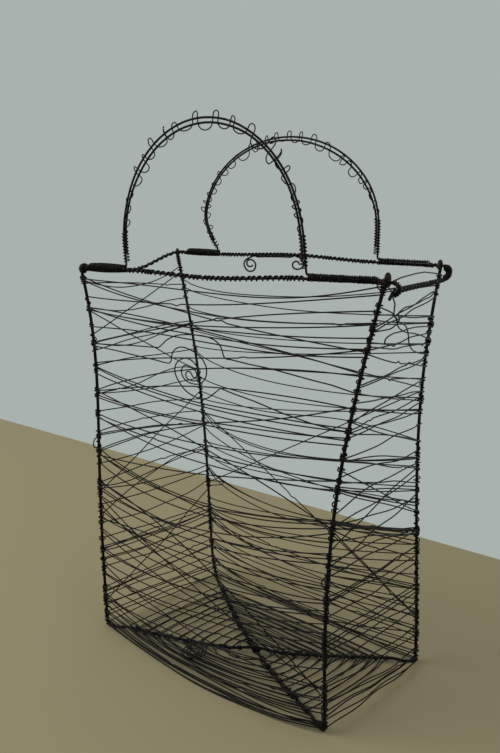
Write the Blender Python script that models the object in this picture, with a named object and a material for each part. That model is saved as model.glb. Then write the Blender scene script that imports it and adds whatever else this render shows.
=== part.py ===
"""A free-standing shopping bag bent and wound by hand from black iron wire.

Two long rods cross on the floor and rise as four posts. A third rod closes the mouth.
Thin wire is laced between the posts, and two double-rod handles swing on the rim.
Lengths are millimetres here and metres in the scene. +X runs along the front, +Y to the back.
"""

import math

import bmesh
import bpy
import numpy as np
from mathutils import Vector

MM = 0.001
UP = Vector((0, 0, 1))

# Wire sizes
POST_DIAMETER = 3.0
RIM_DIAMETER = 2.5
HANDLE_DIAMETER = 1.9
BINDING_DIAMETER = 0.9
WEAVE_DIAMETER = 0.9
SCROLL_DIAMETER = 1.1

# Clearances between pieces that touch on the real bag
GAP = 0.3
CROSSING_GAP = 0.6

# Main sizes, and how far each hand-bent corner strays from the straight box that they give
MOUTH_LENGTH, MOUTH_WIDTH, RIM_HEIGHT = 306.0, 157.0, 390.0
BASE_LENGTH, BASE_WIDTH = 279.0, 152.0


def bent_corner(length, width, height, stray):
    return Vector((length / 2 + stray[0], width / 2 + stray[1], height + stray[2]))


# Mouth corners, on the rim rod's centre line
RIM_CORNERS = {
    "left": bent_corner(-MOUTH_LENGTH, -MOUTH_WIDTH, RIM_HEIGHT, (6.8, -12.4, -3.0)),
    "front": bent_corner(MOUTH_LENGTH, -MOUTH_WIDTH, RIM_HEIGHT, (12.2, 15.2, 2.3)),
    "right": bent_corner(MOUTH_LENGTH, MOUTH_WIDTH, RIM_HEIGHT, (-14.2, 11.5, 1.5)),
    "back": bent_corner(-MOUTH_LENGTH, MOUTH_WIDTH, RIM_HEIGHT, (-15.9, -10.9, 1.1)),
}
FRONT_RIM_SAG = 3.5
BACK_RIM_RISE = 3.0
SIDE_RIM_DIP = 10.5
RIM_BEND_RADIUS = 6.0
RIM_U_RADIUS = 6.2
RIM_TAIL = 10.0
RIM_TAIL_DROP = 5.0

# Base corners, where the posts would meet the floor
BASE_CORNERS = {
    "left": bent_corner(-BASE_LENGTH, -BASE_WIDTH, 0, (-13.2, 2.0, 0)),
    "front": bent_corner(BASE_LENGTH, -BASE_WIDTH, 0, (-13.5, -4.2, 0)),
    "right": bent_corner(BASE_LENGTH, BASE_WIDTH, 0, (3.4, -12.3, 0)),
    "back": bent_corner(-BASE_LENGTH, BASE_WIDTH, 0, (-1.1, 14.8, 0)),
}
BASE_BEND_RADIUS = {"left": 6.0, "front": 4.5, "right": 4.5, "back": 30.0}
FLAT_CUT = 0.35
PAD_LENGTH = 6.0
ARM_RISE_LENGTH = 14.0
ARM_HEIGHT = 4.2
ARM_BOW = {"left": 22.4, "right": 22.4, "back": 17.2, "front": 17.2}
CROSSING_HUMP_LENGTH = 30.0

# Each post is drawn in at its waist: by how much, and at what share of its height
WAIST = {"left": 11.0, "front": -18.0, "right": -12.0, "back": 12.0}
WAIST_HEIGHT = {"left": 0.76, "front": 0.5, "right": 0.62, "back": 0.58}

# Post tops, curled over the rim
EYE_STRETCH = {"left": 0.0, "front": 3.0, "right": 1.0, "back": 0.0}
FRONT_EYE_INSET = 5.0
RIGHT_EYE_INSET = 4.5
EYE_TAIL_DEGREES = 50.0

# Handles: along the rim from the left-hand corner, and up from the hinge line
HANDLES = {
    "front": {"feet": (56.5, 238.6), "middle": 145.2, "half_width": 90.8, "leg": 20.0,
              "height": 122.5, "pins": (12.0, 298.0)},
    "back": {"feet": (60.2, 240.9), "middle": 140.4, "half_width": 100.7, "leg": 30.0,
             "height": 114.5, "pins": (18.0, 292.0)},
}
FOOT_BEND_RADIUS = 3.0
ROD_SPREAD_LEG = 2.3
ROD_SPREAD_TOP = 4.0
INNER_ROD_LIFT = 12.0
FOOT_TUCK_HEIGHT = 44.0
COIL_TURNS = 18
COIL_LIFT = 15.0
COIL_LOOSE_LEG = 0.3
COIL_LOOSE_TOP = 5.2

# Windings
BINDING_TURNS = 6
BINDING_SWELL = {"front": (1.8, 0.5), "back": (0.6, 0.3)}
BINDING_FOOT_SPACE = 4.5
RIM_WRAP_TURNS = {"front": 8, "back": 8, "left": 6, "right": 6}
LASHING_TURNS = 3
LASHING_PITCH = 1.7

# Scrolls
RIM_SCROLL_CENTRES = (95.7, 153.0)
RIM_SCROLL_RADII = (7.0, 5.2)
RIM_SCROLL_TURNS = 1.6
FRONT_SCROLL_RADIUS = 20.0
FRONT_SCROLL_TURNS = 1.25
FRONT_SCROLL_PLACE = 0.43
FRONT_SCROLL_RISE = 6.0
FRONT_SCROLL_SLOTS = (11.75, 10.75)
FLOOR_SCROLL_RADIUS = 14.0
FLOOR_SCROLL_TURNS = 2.6
FLOOR_SCROLL_SLOT = 1.25
SCROLL_EYE_RADIUS = 3.0

# Weave
SIDES = (("front", "left", "front"), ("right", "front", "right"),
         ("back", "right", "back"), ("left", "back", "left"))
WALL_SLOTS = 14
WALL_SLOT_GROWTH = 1.15
WALL_LOWEST = {"left": 13.0, "front": 13.0, "right": 12.0, "back": 36.0}
WALL_HIGHEST = 365.0
WALL_WIRES = (("low_a", 0, 3, 2), ("low_b", 1, 3, 2), ("mid", 6, 4, 1), ("high", 10, 4, 1))
FLOOR_SLOTS = 3
FLOOR_START = 18.0
WEAVE_SAG = 5.0
WEAVE_BOW = {"front": 22.0, "right": 3.0, "back": 4.0, "left": 3.0}
WEAVE_BOW_HEIGHT = 110.0
WEAVE_LAYER = 1.7
WEAVE_ADVANCE = 1.2
WEAVE_TAIL = 4.0

LEAST_SIDES, SIX_SIDES, EIGHT_SIDES = 0, 1, 2
IRON = (0.020, 0.018, 0.017)
DARK_WIRE = (0.028, 0.024, 0.021)
RUSTY_WIRE = (0.060, 0.034, 0.022)


def material(name, colour, roughness, metallic):
    made = bpy.data.materials.new(name)
    made.use_nodes = True
    shader = made.node_tree.nodes["Principled BSDF"]
    shader.inputs["Base Color"].default_value = (*colour, 1)
    shader.inputs["Roughness"].default_value = roughness
    shader.inputs["Metallic"].default_value = metallic
    return made


def tube(name, points, diameter, level, colour, parent=None):
    """One wire: a curve through the points, round in section, its ends capped."""
    curve = bpy.data.curves.new(name, "CURVE")
    curve.dimensions = "3D"
    curve.bevel_depth = diameter / 2 * MM
    curve.bevel_resolution = level
    curve.use_fill_caps = True
    origin = parent.location if parent else Vector()
    spline = curve.splines.new("POLY")
    spline.points.add(len(points) - 1)
    for knot, point in zip(spline.points, points):
        knot.co = (*(point * MM - origin), 1)
    curve.materials.append(material(name + "_iron", colour, 0.55, 0.85))
    piece = bpy.data.objects.new(name, curve)
    bpy.context.scene.collection.objects.link(piece)
    piece.parent = parent
    return piece


def standing_tube(name, points, diameter, level, colour):
    """A rod that the bag stands on, ground flat where it would pass below the floor."""
    guide = tube(name + "_guide", points, diameter, level, colour)
    bpy.context.view_layer.update()
    graph = bpy.context.evaluated_depsgraph_get()
    mesh = bpy.data.meshes.new_from_object(guide.evaluated_get(graph))
    bpy.data.objects.remove(guide)
    work = bmesh.new()
    work.from_mesh(mesh)
    bmesh.ops.remove_doubles(work, verts=work.verts, dist=1e-6)
    cut = bmesh.ops.bisect_plane(
        work, geom=work.verts[:] + work.edges[:] + work.faces[:],
        plane_co=(0, 0, 0), plane_no=(0, 0, -1), clear_outer=True)
    rims = [e for e in cut["geom_cut"] if isinstance(e, bmesh.types.BMEdge)]
    bmesh.ops.holes_fill(work, edges=rims)
    bmesh.ops.recalc_face_normals(work, faces=work.faces)
    work.to_mesh(mesh)
    work.free()
    mesh.name = name
    piece = bpy.data.objects.new(name, mesh)
    bpy.context.scene.collection.objects.link(piece)
    return piece


def flat(vector):
    return Vector((vector.x, vector.y, 0)).normalized()


def outward(point, along):
    """The level direction square to a rim, away from the middle of the bag."""
    side = Vector((along.y, -along.x, 0)).normalized()
    return side if side.dot(point) > 0 else -side


def arc(centre, radius, first, second, start, end, steps):
    """Points round a centre, from the start to the end angle, in the plane of two directions."""
    turns = np.radians(np.linspace(start, end, steps + 1))
    return [centre + radius * (first * math.cos(a) + second * math.sin(a)) for a in turns]


def filleted(before, corner, after, radius, steps=4):
    """The arc that rounds a corner between two straight runs."""
    a = (before - corner).normalized()
    b = (after - corner).normalized()
    half = a.angle(b) / 2
    setback = radius / math.tan(half)
    start = corner + a * setback
    end = corner + b * setback
    centre = corner + (a + b).normalized() * radius / math.sin(half)
    shares = np.linspace(0, 1, steps + 1)
    spokes = [(start - centre).normalized().slerp((end - centre).normalized(), t) for t in shares]
    return [centre + spoke * radius for spoke in spokes]


def extended(points, length):
    """The same wire with both ends run straight on."""
    first = points[0] + (points[0] - points[1]).normalized() * length
    last = points[-1] + (points[-1] - points[-2]).normalized() * length
    return [first, *points, last]


def report_gap(name, points, diameter, apart):
    """Prints the least gap between stretches of one winding that are some points apart."""
    knots = np.array(points)
    fine = np.concatenate([knots[:-1] + (knots[1:] - knots[:-1]) * t for t in (0, 0.25, 0.5, 0.75)])
    order = np.argsort(np.concatenate([np.arange(len(knots) - 1) + t for t in (0, 0.25, 0.5, 0.75)]))
    fine = fine[order]
    spread = np.linalg.norm(fine[:, None] - fine[None], axis=2)
    index = np.arange(len(fine))
    spread[np.abs(index[:, None] - index[None]) < 4 * apart] = np.inf
    print(f"{name}: least gap to itself {spread.min() - diameter:.2f} mm")


# Rim

RIM_RADIUS = RIM_DIAMETER / 2
POST_RADIUS = POST_DIAMETER / 2
HOOK_RADIUS = 4.6
RIM_HANG = 2 * HOOK_RADIUS - RIM_DIAMETER - GAP


def front_rim(s):
    """The front of the rim, s mm from the left corner: straight under the handle feet."""
    left, right = RIM_CORNERS["left"], RIM_CORNERS["front"]
    first, last = HANDLES["front"]["feet"]
    sag = FRONT_RIM_SAG * between(s, first, last)
    return left + (right - left).normalized() * s - UP * sag


def back_rim(s):
    """The back of the rim, s mm from the back corner: straight under the handle feet."""
    left, right = RIM_CORNERS["back"], RIM_CORNERS["right"]
    first, last = HANDLES["back"]["feet"]
    rise = BACK_RIM_RISE * between(s, first, last)
    return left + (right - left).normalized() * s + UP * rise


def between(s, first, last):
    """A smooth swell that is nothing outside the two ends and one half-way."""
    share = min(max((s - first) / (last - first), 0), 1)
    return math.sin(math.pi * share) ** 2


def rim_length(name):
    first, last = {"front": ("left", "front"), "back": ("back", "right"),
                   "left": ("left", "back"), "right": ("right", "front")}[name]
    return (RIM_CORNERS[first] - RIM_CORNERS[last]).length


def left_rim(s):
    """The left side of the rim, s mm from the left corner, dipped in the middle."""
    left, back = RIM_CORNERS["left"], RIM_CORNERS["back"]
    share = s / rim_length("left")
    return left.lerp(back, share) - UP * SIDE_RIM_DIP * math.sin(math.pi * share) ** 2


def right_rim(s):
    """The right side of the rim, s mm from the right corner, from the foot of the U."""
    start = RIM_CORNERS["right"] - UP * 2 * RIM_U_RADIUS
    end = RIM_CORNERS["front"] - UP * RIM_HANG
    return start.lerp(end, s / rim_length("right"))


RIM_SIDES = {"front": front_rim, "back": back_rim, "left": left_rim, "right": right_rim}


def rim_knots(name, start, end, count):
    return [RIM_SIDES[name](s) for s in np.linspace(start, end, count)]


def rim_tangent(name, s):
    return (RIM_SIDES[name](s + 1) - RIM_SIDES[name](s - 1)).normalized()


def rim_corner(name):
    """The rounded corner of the rim rod at the left or back corner."""
    corner = RIM_CORNERS[name]
    far = rim_length("left")
    ends = {"left": (front_rim(20), left_rim(12)), "back": (left_rim(far - 12), back_rim(20))}
    return filleted(ends[name][0], corner, ends[name][1], RIM_BEND_RADIUS)


def rim_path():
    corner, right = RIM_CORNERS["front"], RIM_CORNERS["right"]
    along = rim_tangent("front", rim_length("front"))
    hook = arc(corner - UP * HOOK_RADIUS, HOOK_RADIUS, along, UP, -110, 90, 8)
    front = rim_knots("front", rim_length("front") - 10, 15, 16)
    left = rim_knots("left", 15, rim_length("left") - 15, 8)
    back = rim_knots("back", 15, rim_length("back") - 9, 16)
    away = (rim_tangent("back", 200) - rim_tangent("right", 80)).normalized()
    away = flat(away)
    middle = right - UP * RIM_U_RADIUS
    bend = arc(middle, RIM_U_RADIUS, away, UP, 90, -90, 6)
    side = rim_knots("right", 10, rim_length("right"), 5)
    run = flat(rim_tangent("right", 80))
    tail = [side[-1] + run * RIM_TAIL - UP * RIM_TAIL_DROP]
    return [*hook, *front, *rim_corner("left"), *left, *rim_corner("back"), *back,
            *bend, *side, *tail]


# Frame rods


def eye_seat(name):
    """Where a post curls over the rim: the rim rod's centre, and the rim's direction there."""
    if name in ("left", "back"):
        bend = rim_corner(name)
        middle = len(bend) // 2
        return bend[middle], (bend[middle + 1] - bend[middle - 1]).normalized()
    if name == "front":
        s = rim_length("front") - FRONT_EYE_INSET
        return front_rim(s), rim_tangent("front", s)
    s = rim_length("back") - RIGHT_EYE_INSET
    return back_rim(s), rim_tangent("back", s)


EYE_RADIUS = (RIM_RADIUS + POST_RADIUS + GAP) / math.cos(math.radians(15))


def eye(name):
    """The curl at a post's top, from the post over the rim to its tail inside."""
    centre, along = eye_seat(name)
    out = outward(centre, along)
    lifted = centre + UP * EYE_STRETCH[name]
    over = arc(lifted, EYE_RADIUS, out, UP, 0, 180, 6)
    under = arc(centre, EYE_RADIUS, out, UP, 180, 180 + EYE_TAIL_DEGREES, 2)
    if EYE_STRETCH[name] == 0:
        under = under[1:]
    return [*over, *under]


def post(name, height):
    """The centre of a post at a height, from its base corner to the foot of its eye."""
    base = BASE_CORNERS[name]
    top = eye(name)[0]
    share = height / top.z
    power = math.log(0.5) / math.log(WAIST_HEIGHT[name])
    waist = WAIST[name] * math.sin(math.pi * min(share, 1) ** power)
    middle = base.lerp(top, share)
    return Vector((middle.x + waist, middle.y, height))


def post_tangent(name, height):
    return (post(name, height + 1) - post(name, height - 1)).normalized()


ARMS = {"left": "right", "right": "left", "back": "front", "front": "back"}
PAD_HEIGHT = POST_RADIUS - FLAT_CUT
OVER_CROSSING = POST_DIAMETER + CROSSING_GAP
HUMPED = ("left", "right")


def floor_line(name, share):
    """A floor diagonal seen from above, from a corner to the opposite one."""
    start = BASE_CORNERS[name]
    end = BASE_CORNERS[ARMS[name]]
    return start.lerp(end, share) - Vector((0, ARM_BOW[name] * math.sin(math.pi * share), 0))


def crossing():
    """The shares of the left and back diagonals at which they cross, and the place."""
    shares = np.linspace(0.3, 0.7, 801)
    one = np.array([floor_line("left", t) for t in shares])
    two = np.array([floor_line("back", t) for t in shares])
    spread = np.linalg.norm(one[:, None] - two[None], axis=2)
    i, j = np.unravel_index(spread.argmin(), spread.shape)
    return shares[i], shares[j], floor_line("left", shares[i])


CROSS_LEFT, CROSS_BACK, CROSS = crossing()
CROSS_SHARE = {"left": CROSS_LEFT, "right": 1 - CROSS_LEFT, "back": CROSS_BACK, "front": 1 - CROSS_BACK}


def smooth(share):
    share = min(max(share, 0), 1)
    return share * share * (3 - 2 * share)


def arm(name, share):
    """A floor diagonal in space: on the floor at its corners, raised between them."""
    place = floor_line(name, share)
    height = ARM_HEIGHT
    for end in (name, ARMS[name]):
        away = (place - BASE_CORNERS[end]).length - BASE_BEND_RADIUS[end] - PAD_LENGTH
        height = min(height, PAD_HEIGHT + (ARM_HEIGHT - PAD_HEIGHT) * smooth(away / ARM_RISE_LENGTH))
    if name in HUMPED:
        height += OVER_CROSSING * (1 - smooth((place - CROSS).length / CROSSING_HUMP_LENGTH))
    return Vector((place.x, place.y, height))


def arm_share(name, distance):
    """The share of a diagonal at a distance from its corner."""
    return distance / (BASE_CORNERS[name] - BASE_CORNERS[ARMS[name]]).length


def base_bend(name):
    """The bend from a post on to the floor, from the post down."""
    radius = BASE_BEND_RADIUS[name]
    base = BASE_CORNERS[name]
    run = flat(floor_line(name, arm_share(name, radius)) - base)
    centre = base + run * radius + UP * (PAD_HEIGHT + radius)
    lean = post(name, PAD_HEIGHT + radius) - base - UP * (PAD_HEIGHT + radius)
    bend = arc(centre, radius, -run, -UP, 0, 90, 5)
    shares = np.linspace(1, 0, 6) ** 2
    return [point + lean * t for point, t in zip(bend, shares)]


def post_knots(name):
    foot = PAD_HEIGHT + BASE_BEND_RADIUS[name] + 6
    top = eye(name)[0].z
    return [post(name, z) for z in np.linspace(top - 8, foot, 10)]


def frame_path(name):
    """A whole frame rod, from one post's eye across the floor to the other's."""
    far = ARMS[name]
    near = BASE_BEND_RADIUS[name] + PAD_LENGTH
    end = BASE_BEND_RADIUS[far] + PAD_LENGTH
    shares = [arm_share(name, near), *np.linspace(arm_share(name, near + ARM_RISE_LENGTH),
              CROSS_SHARE[name] - 0.1, 4), CROSS_SHARE[name] - 0.05, CROSS_SHARE[name],
              CROSS_SHARE[name] + 0.05, *np.linspace(CROSS_SHARE[name] + 0.1,
              1 - arm_share(far, end + ARM_RISE_LENGTH), 4), 1 - arm_share(far, end)]
    floor = [arm(name, t) for t in shares]
    return [*reversed(eye(name)), *post_knots(name), *base_bend(name), *floor,
            *reversed(base_bend(far)), *reversed(post_knots(far)), *eye(far)]


# Handles

LEG_SHARE = 0.12
PIN_LIFT = RIM_RADIUS + HANDLE_DIAMETER / 2 + GAP


class Handle:
    """A double-rod handle, laid out along its rim and up from its hinge line."""

    def __init__(self, side):
        sizes = HANDLES[side]
        self.side = side
        self.feet, self.pins = sizes["feet"], sizes["pins"]
        self.middle, self.half_width = sizes["middle"], sizes["half_width"]
        self.leg, self.height = sizes["leg"], sizes["height"]
        self.along = rim_tangent(side, 20)
        self.across = Vector((self.along.y, -self.along.x, 0)).normalized()
        self.up = self.across.cross(self.along).normalized()
        if self.up.z < 0:
            self.up = -self.up
        self.corner = RIM_SIDES[side](0) + self.up * PIN_LIFT

    def at(self, s, height, depth=0.0):
        return self.corner + self.along * s + self.up * height + self.across * depth

    def centre(self, t):
        """The middle of the two rods: t runs from the left foot over the top to the right one."""
        rise = min(t, 1 - t) / LEG_SHARE
        turn = math.pi * min(max((t - LEG_SHARE) / (1 - 2 * LEG_SHARE), 0), 1)
        reach = -self.half_width * math.cos(turn)
        height = self.leg * min(rise, 1) + (self.height - self.leg) * math.sin(turn)
        foot = self.feet[0] if t < 0.5 else self.feet[1]
        shoulder = self.middle + self.half_width * (-1 if t < 0.5 else 1)
        tuck = (foot - shoulder) * max(1 - height / FOOT_TUCK_HEIGHT, 0) ** 2
        return self.middle + reach + tuck, height

    def normal(self, t):
        before, after = self.centre(max(t - 0.01, 0)), self.centre(min(t + 0.01, 1))
        run, rise = after[0] - before[0], after[1] - before[1]
        length = math.hypot(run, rise)
        return -rise / length, run / length

    def spread(self, t):
        return ROD_SPREAD_LEG + (ROD_SPREAD_TOP - ROD_SPREAD_LEG) * math.sin(math.pi * t) ** 2

    def beside(self, t, offset, depth=0.0):
        s, height = self.centre(t)
        sideways, upwards = self.normal(t)
        return self.at(s + sideways * offset, height + upwards * offset, depth)

    def outer_rod(self):
        arch = [self.beside(t, self.spread(t) / 2) for t in np.linspace(0.06, 0.94, 25)]
        reach = ROD_SPREAD_LEG / 2
        left, right = self.feet[0] - reach, self.feet[1] + reach
        left_bend = filleted(self.at(left - 9, 0), self.at(left, 0), arch[0], FOOT_BEND_RADIUS, 3)
        right_bend = filleted(arch[-1], self.at(right, 0), self.at(right + 9, 0), FOOT_BEND_RADIUS, 3)
        return [self.at(self.pins[0], 0), *left_bend, *arch, *right_bend, self.at(self.pins[1], 0)]

    def lifted(self, height):
        """The value of t at which the left leg's centre has reached a height."""
        return min(np.linspace(0, 0.3, 601), key=lambda t: abs(self.centre(t)[1] - height))

    def inner_rod(self):
        start = self.lifted(INNER_ROD_LIFT)
        return [self.beside(t, -self.spread(t) / 2) for t in np.linspace(start, 1 - start, 24)]

    def coil(self):
        start = self.lifted(COIL_LIFT)
        steps = 8 * COIL_TURNS
        points = []
        for i in range(steps + 1):
            t = start + (1 - 2 * start) * i / steps
            turn = 2 * math.pi * i / 8
            loose = COIL_LOOSE_LEG + (COIL_LOOSE_TOP - COIL_LOOSE_LEG) * math.sin(math.pi * t) ** 2
            room = HANDLE_DIAMETER / 2 + GAP + BINDING_DIAMETER / 2
            wide = (self.spread(t) / 2 + room) / math.cos(math.pi / 8) + loose
            deep = (room + 0.4) / math.cos(math.pi / 8) + loose
            points.append(self.beside(t, wide * math.cos(turn), deep * math.sin(turn)))
        return extended(points, BINDING_DIAMETER)

    def hinge(self):
        anchor = bpy.data.objects.new(self.side + "_handle_hinge", None)
        anchor.location = self.at(self.middle, 0) * MM
        bpy.context.scene.collection.objects.link(anchor)
        return anchor

    def binding(self, left):
        """The winding that holds one foot down on the rim, thickest half-way."""
        foot = self.feet[0] - BINDING_FOOT_SPACE if left else self.feet[1] + BINDING_FOOT_SPACE
        ends = (self.pins[0] + 1, foot) if left else (foot, self.pins[1] - 1)
        room = (RIM_RADIUS + GAP + BINDING_DIAMETER / 2) / math.cos(math.radians(30))
        angles = (0, 60, 120, 180, 180, 240, 300, 360)
        swell = BINDING_SWELL[self.side][0 if left else 1]
        steps = len(angles) * BINDING_TURNS
        points = []
        for i in range(steps):
            share = i / (steps - 1)
            angle = math.radians(angles[i % 8])
            radius = room + swell * math.sin(math.pi * share)
            base = 0 if i % 8 < 4 else -PIN_LIFT
            points.append(self.at(ends[0] + (ends[1] - ends[0]) * share,
                                  base + radius * math.sin(angle), radius * math.cos(angle)))
        return extended(points, BINDING_DIAMETER)


# Windings


def wrap(name):
    """Thin wire wound along one side of the rim."""
    length = rim_length(name)
    ends = {"front": (HANDLES["front"]["feet"][0] + 5, HANDLES["front"]["feet"][1] - 5),
            "back": (HANDLES["back"]["feet"][0] + 5, HANDLES["back"]["feet"][1] - 5),
            "left": (14, length - 14), "right": (11, length - 12)}[name]
    radius = (RIM_RADIUS + GAP + BINDING_DIAMETER / 2) / math.cos(math.pi / 8)
    steps = 8 * RIM_WRAP_TURNS[name]
    points = []
    for i in range(steps + 1):
        s = ends[0] + (ends[1] - ends[0]) * i / steps
        along = rim_tangent(name, s)
        side = Vector((along.y, -along.x, 0)).normalized()
        lift = side.cross(along)
        turn = 2 * math.pi * i / 8
        points.append(RIM_SIDES[name](s) + radius * (side * math.cos(turn) + lift * math.sin(turn)))
    return extended(points, BINDING_DIAMETER)


def lashing():
    """The wire wound round both diagonals where they cross."""
    one = flat(floor_line("left", CROSS_LEFT + 0.02) - CROSS)
    two = flat(floor_line("back", CROSS_BACK + 0.02) - CROSS)
    along = (one + two).normalized()
    side = UP.cross(along)
    low, high = ARM_HEIGHT, ARM_HEIGHT + OVER_CROSSING
    reach = LASHING_PITCH * LASHING_TURNS / 2
    room = POST_RADIUS + GAP + BINDING_DIAMETER / 2
    half = one.angle(two) / 2
    wide = (room / math.cos(half) + reach * math.tan(half)) / math.cos(math.pi / 8)
    tall = ((high - low) / 2 + room) / math.cos(math.pi / 8)
    middle = Vector((CROSS.x, CROSS.y, (low + high) / 2))
    steps = 8 * LASHING_TURNS
    points = []
    for i in range(steps + 1):
        turn = 2 * math.pi * (i / 8 + 1 / 16)
        shift = reach * (2 * i / steps - 1)
        points.append(middle + along * shift + side * wide * math.cos(turn) + UP * tall * math.sin(turn))
    return extended(points, BINDING_DIAMETER)


# Weave


def hook(centre, along, towards):
    """Half a turn round a rod, open towards the other rod, climbing a little along it."""
    reach = (towards - along * towards.dot(along)).normalized()
    side = along.cross(reach)
    radius = (POST_RADIUS + GAP + WEAVE_DIAMETER / 2) / math.cos(math.radians(30))
    bend = arc(centre, radius, side, -reach, 0, 180, 3)
    return [point + along * WEAVE_ADVANCE * i / 3 for i, point in enumerate(bend)]


def strand(start, end, bow, sag):
    """The free run between two rods, bowed outwards and sagging."""
    middle = []
    for t in (0.25, 0.5, 0.75):
        swell = 4 * t * (1 - t)
        middle.append(start.lerp(end, t) + bow * swell - UP * sag * swell)
    return middle


def slot_height(name, slot):
    low = WALL_LOWEST[name]
    return low + (WALL_HIGHEST - low) * (slot / WALL_SLOTS) ** WALL_SLOT_GROWTH


def arm_slot(name, slot):
    """A lacing place on a floor diagonal, counted from the crossing out, and the way out."""
    outer = arm_share(name, BASE_BEND_RADIUS[name] + PAD_LENGTH + ARM_RISE_LENGTH)
    inner = CROSS_SHARE[name] - arm_share(name, FLOOR_START)
    share = inner + (outer - inner) * slot / (FLOOR_SLOTS - 0.5)
    ahead = arm(name, share - 0.005) - arm(name, share + 0.005)
    return arm(name, share), ahead.normalized()


def laced(count, step, first, left_place, right_place, hang):
    """One wire laced to and fro: round the left rod, across outside, round the right, back inside."""
    points = []
    for i in range(count):
        slot = first + i * step
        left, left_along = left_place(slot)
        right, right_along = right_place(slot + 0.5)
        following, _ = left_place(slot + step)
        turn = hook(left, left_along, right - left)
        back = hook(right, right_along, left - right)
        bow, sag = hang((left + right) / 2, right - left)
        points += [*turn, *strand(turn[-1], back[0], bow, sag), *back]
        if i < count - 1:
            landing = hook(following, left_along, right - following)[0]
            points += strand(back[-1], landing, bow, sag)
    lead = (right - left).normalized()
    return [points[0] + lead * WEAVE_TAIL, *points, points[-1] - lead * WEAVE_TAIL]


def wall_wire(side, left, right, count, first, step):
    def hang(middle, across):
        out = across.cross(UP).normalized()
        share = max(1 - middle.z / WEAVE_BOW_HEIGHT, 0)
        bow = WEAVE_BOW[side] * share ** 2 + WEAVE_LAYER * (first % 2)
        return out * bow, WEAVE_SAG * min(middle.z / WEAVE_BOW_HEIGHT, 1)

    def place(name):
        def at(slot):
            height = slot_height(name, slot)
            return post(name, height), post_tangent(name, height)
        return at

    return laced(count, step, first, place(left), place(right), hang)


def floor_wire(side, left, right):
    def hang(middle, across):
        out = flat(across.cross(UP))
        share = min((middle - CROSS).length / 80, 1)
        return out * WEAVE_BOW[side] * share ** 2, 0

    def place(name):
        return lambda slot: arm_slot(name, slot)

    return laced(FLOOR_SLOTS, 1, 0, place(left), place(right), hang)


# Scrolls


def spiral(centre, first, second, inner, outer, start, turns, steps):
    """A flat spiral from its eye outwards."""
    points = []
    for i in range(steps + 1):
        share = i / steps
        angle = math.radians(start) + 2 * math.pi * turns * share
        radius = inner + (outer - inner) * share
        points.append(centre + radius * (first * math.cos(angle) + second * math.sin(angle)))
    return points


def rim_scroll():
    """A wire run under the back rim, ending in two small spirals that hang from it."""
    along = rim_tangent("back", 120)
    drop = RIM_RADIUS + BINDING_DIAMETER + 2 * GAP + SCROLL_DIAMETER / 2 + 0.15
    eyes = []
    for s, radius in zip(RIM_SCROLL_CENTRES, RIM_SCROLL_RADII):
        centre = back_rim(s) - UP * (drop + radius)
        turns = RIM_SCROLL_TURNS
        eyes.append(spiral(centre, along, UP, 1.6, radius, 90 - 360 * turns, turns, 16))
    run = [back_rim(s) - UP * drop for s in np.linspace(*RIM_SCROLL_CENTRES, 6)[1:-1]]
    mirrored = [2 * along.dot(back_rim(RIM_SCROLL_CENTRES[0]) - p) * along + p for p in eyes[0]]
    return [*mirrored, *run, *reversed(eyes[1])]


def rod_hook(centre, along, towards, diameter, degrees, steps):
    """A scroll wire's turn round a rod, from its tail to where it leaves."""
    reach = (towards - along * towards.dot(along)).normalized()
    side = reach.cross(along)
    radius = (POST_RADIUS + GAP + diameter / 2) / math.cos(math.radians(degrees / steps / 2))
    turns = np.radians(np.linspace(-degrees, 0, steps + 1))
    pitch = (diameter + GAP + 0.2) / (2 * math.pi)
    return [centre + radius * (side * math.cos(a) + reach * math.sin(a)) + along * pitch * a for a in turns]


def front_scroll():
    """A wire across the front wall that winds in to a spiral's eye, turns there and winds out again."""
    left, right = (slot_height(name, slot) for name, slot in zip(("left", "front"), FRONT_SCROLL_SLOTS))
    start, end = post("left", left), post("front", right)
    across = flat(end - start)
    out = across.cross(UP)
    lift = out * (POST_RADIUS + 2 * GAP + WEAVE_DIAMETER + SCROLL_DIAMETER / 2 + 0.3)
    hooked = rod_hook(start, post_tangent("left", left), across, SCROLL_DIAMETER, 300, 8)
    landed = rod_hook(end, -post_tangent("front", right), -across, SCROLL_DIAMETER, 300, 8)
    centre = start.lerp(end, FRONT_SCROLL_PLACE) + UP * FRONT_SCROLL_RISE + lift
    arm_in = spiral(centre, across, -UP, SCROLL_EYE_RADIUS, FRONT_SCROLL_RADIUS, 90, FRONT_SCROLL_TURNS, 18)
    arm_out = spiral(centre, -across, UP, SCROLL_EYE_RADIUS, FRONT_SCROLL_RADIUS, 90, FRONT_SCROLL_TURNS, 18)
    return [*hooked, start + lift + across * 12, *reversed(arm_in), centre, *arm_out,
            end + lift - across * 12, *reversed(landed)]


def floor_scroll():
    """A spiral lying on the floor wires, hooked on to the left diagonal."""
    seat, outer = arm_slot("left", FLOOR_SCROLL_SLOT)
    rise = -outer
    level = flat(rise)
    front = level.cross(UP)
    lift = POST_RADIUS + 2 * GAP + 2 * WEAVE_DIAMETER + SCROLL_DIAMETER / 2
    centre = seat + front * (FLOOR_SCROLL_RADIUS + 9) + level * 14 + UP * (lift + 0.5)
    turns = spiral(centre, level, -front, SCROLL_EYE_RADIUS, FLOOR_SCROLL_RADIUS, 90,
                   FLOOR_SCROLL_TURNS, 36)
    hooked = rod_hook(seat, rise, front, SCROLL_DIAMETER, 300, 8)
    return [*turns, *reversed(hooked)]


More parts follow.
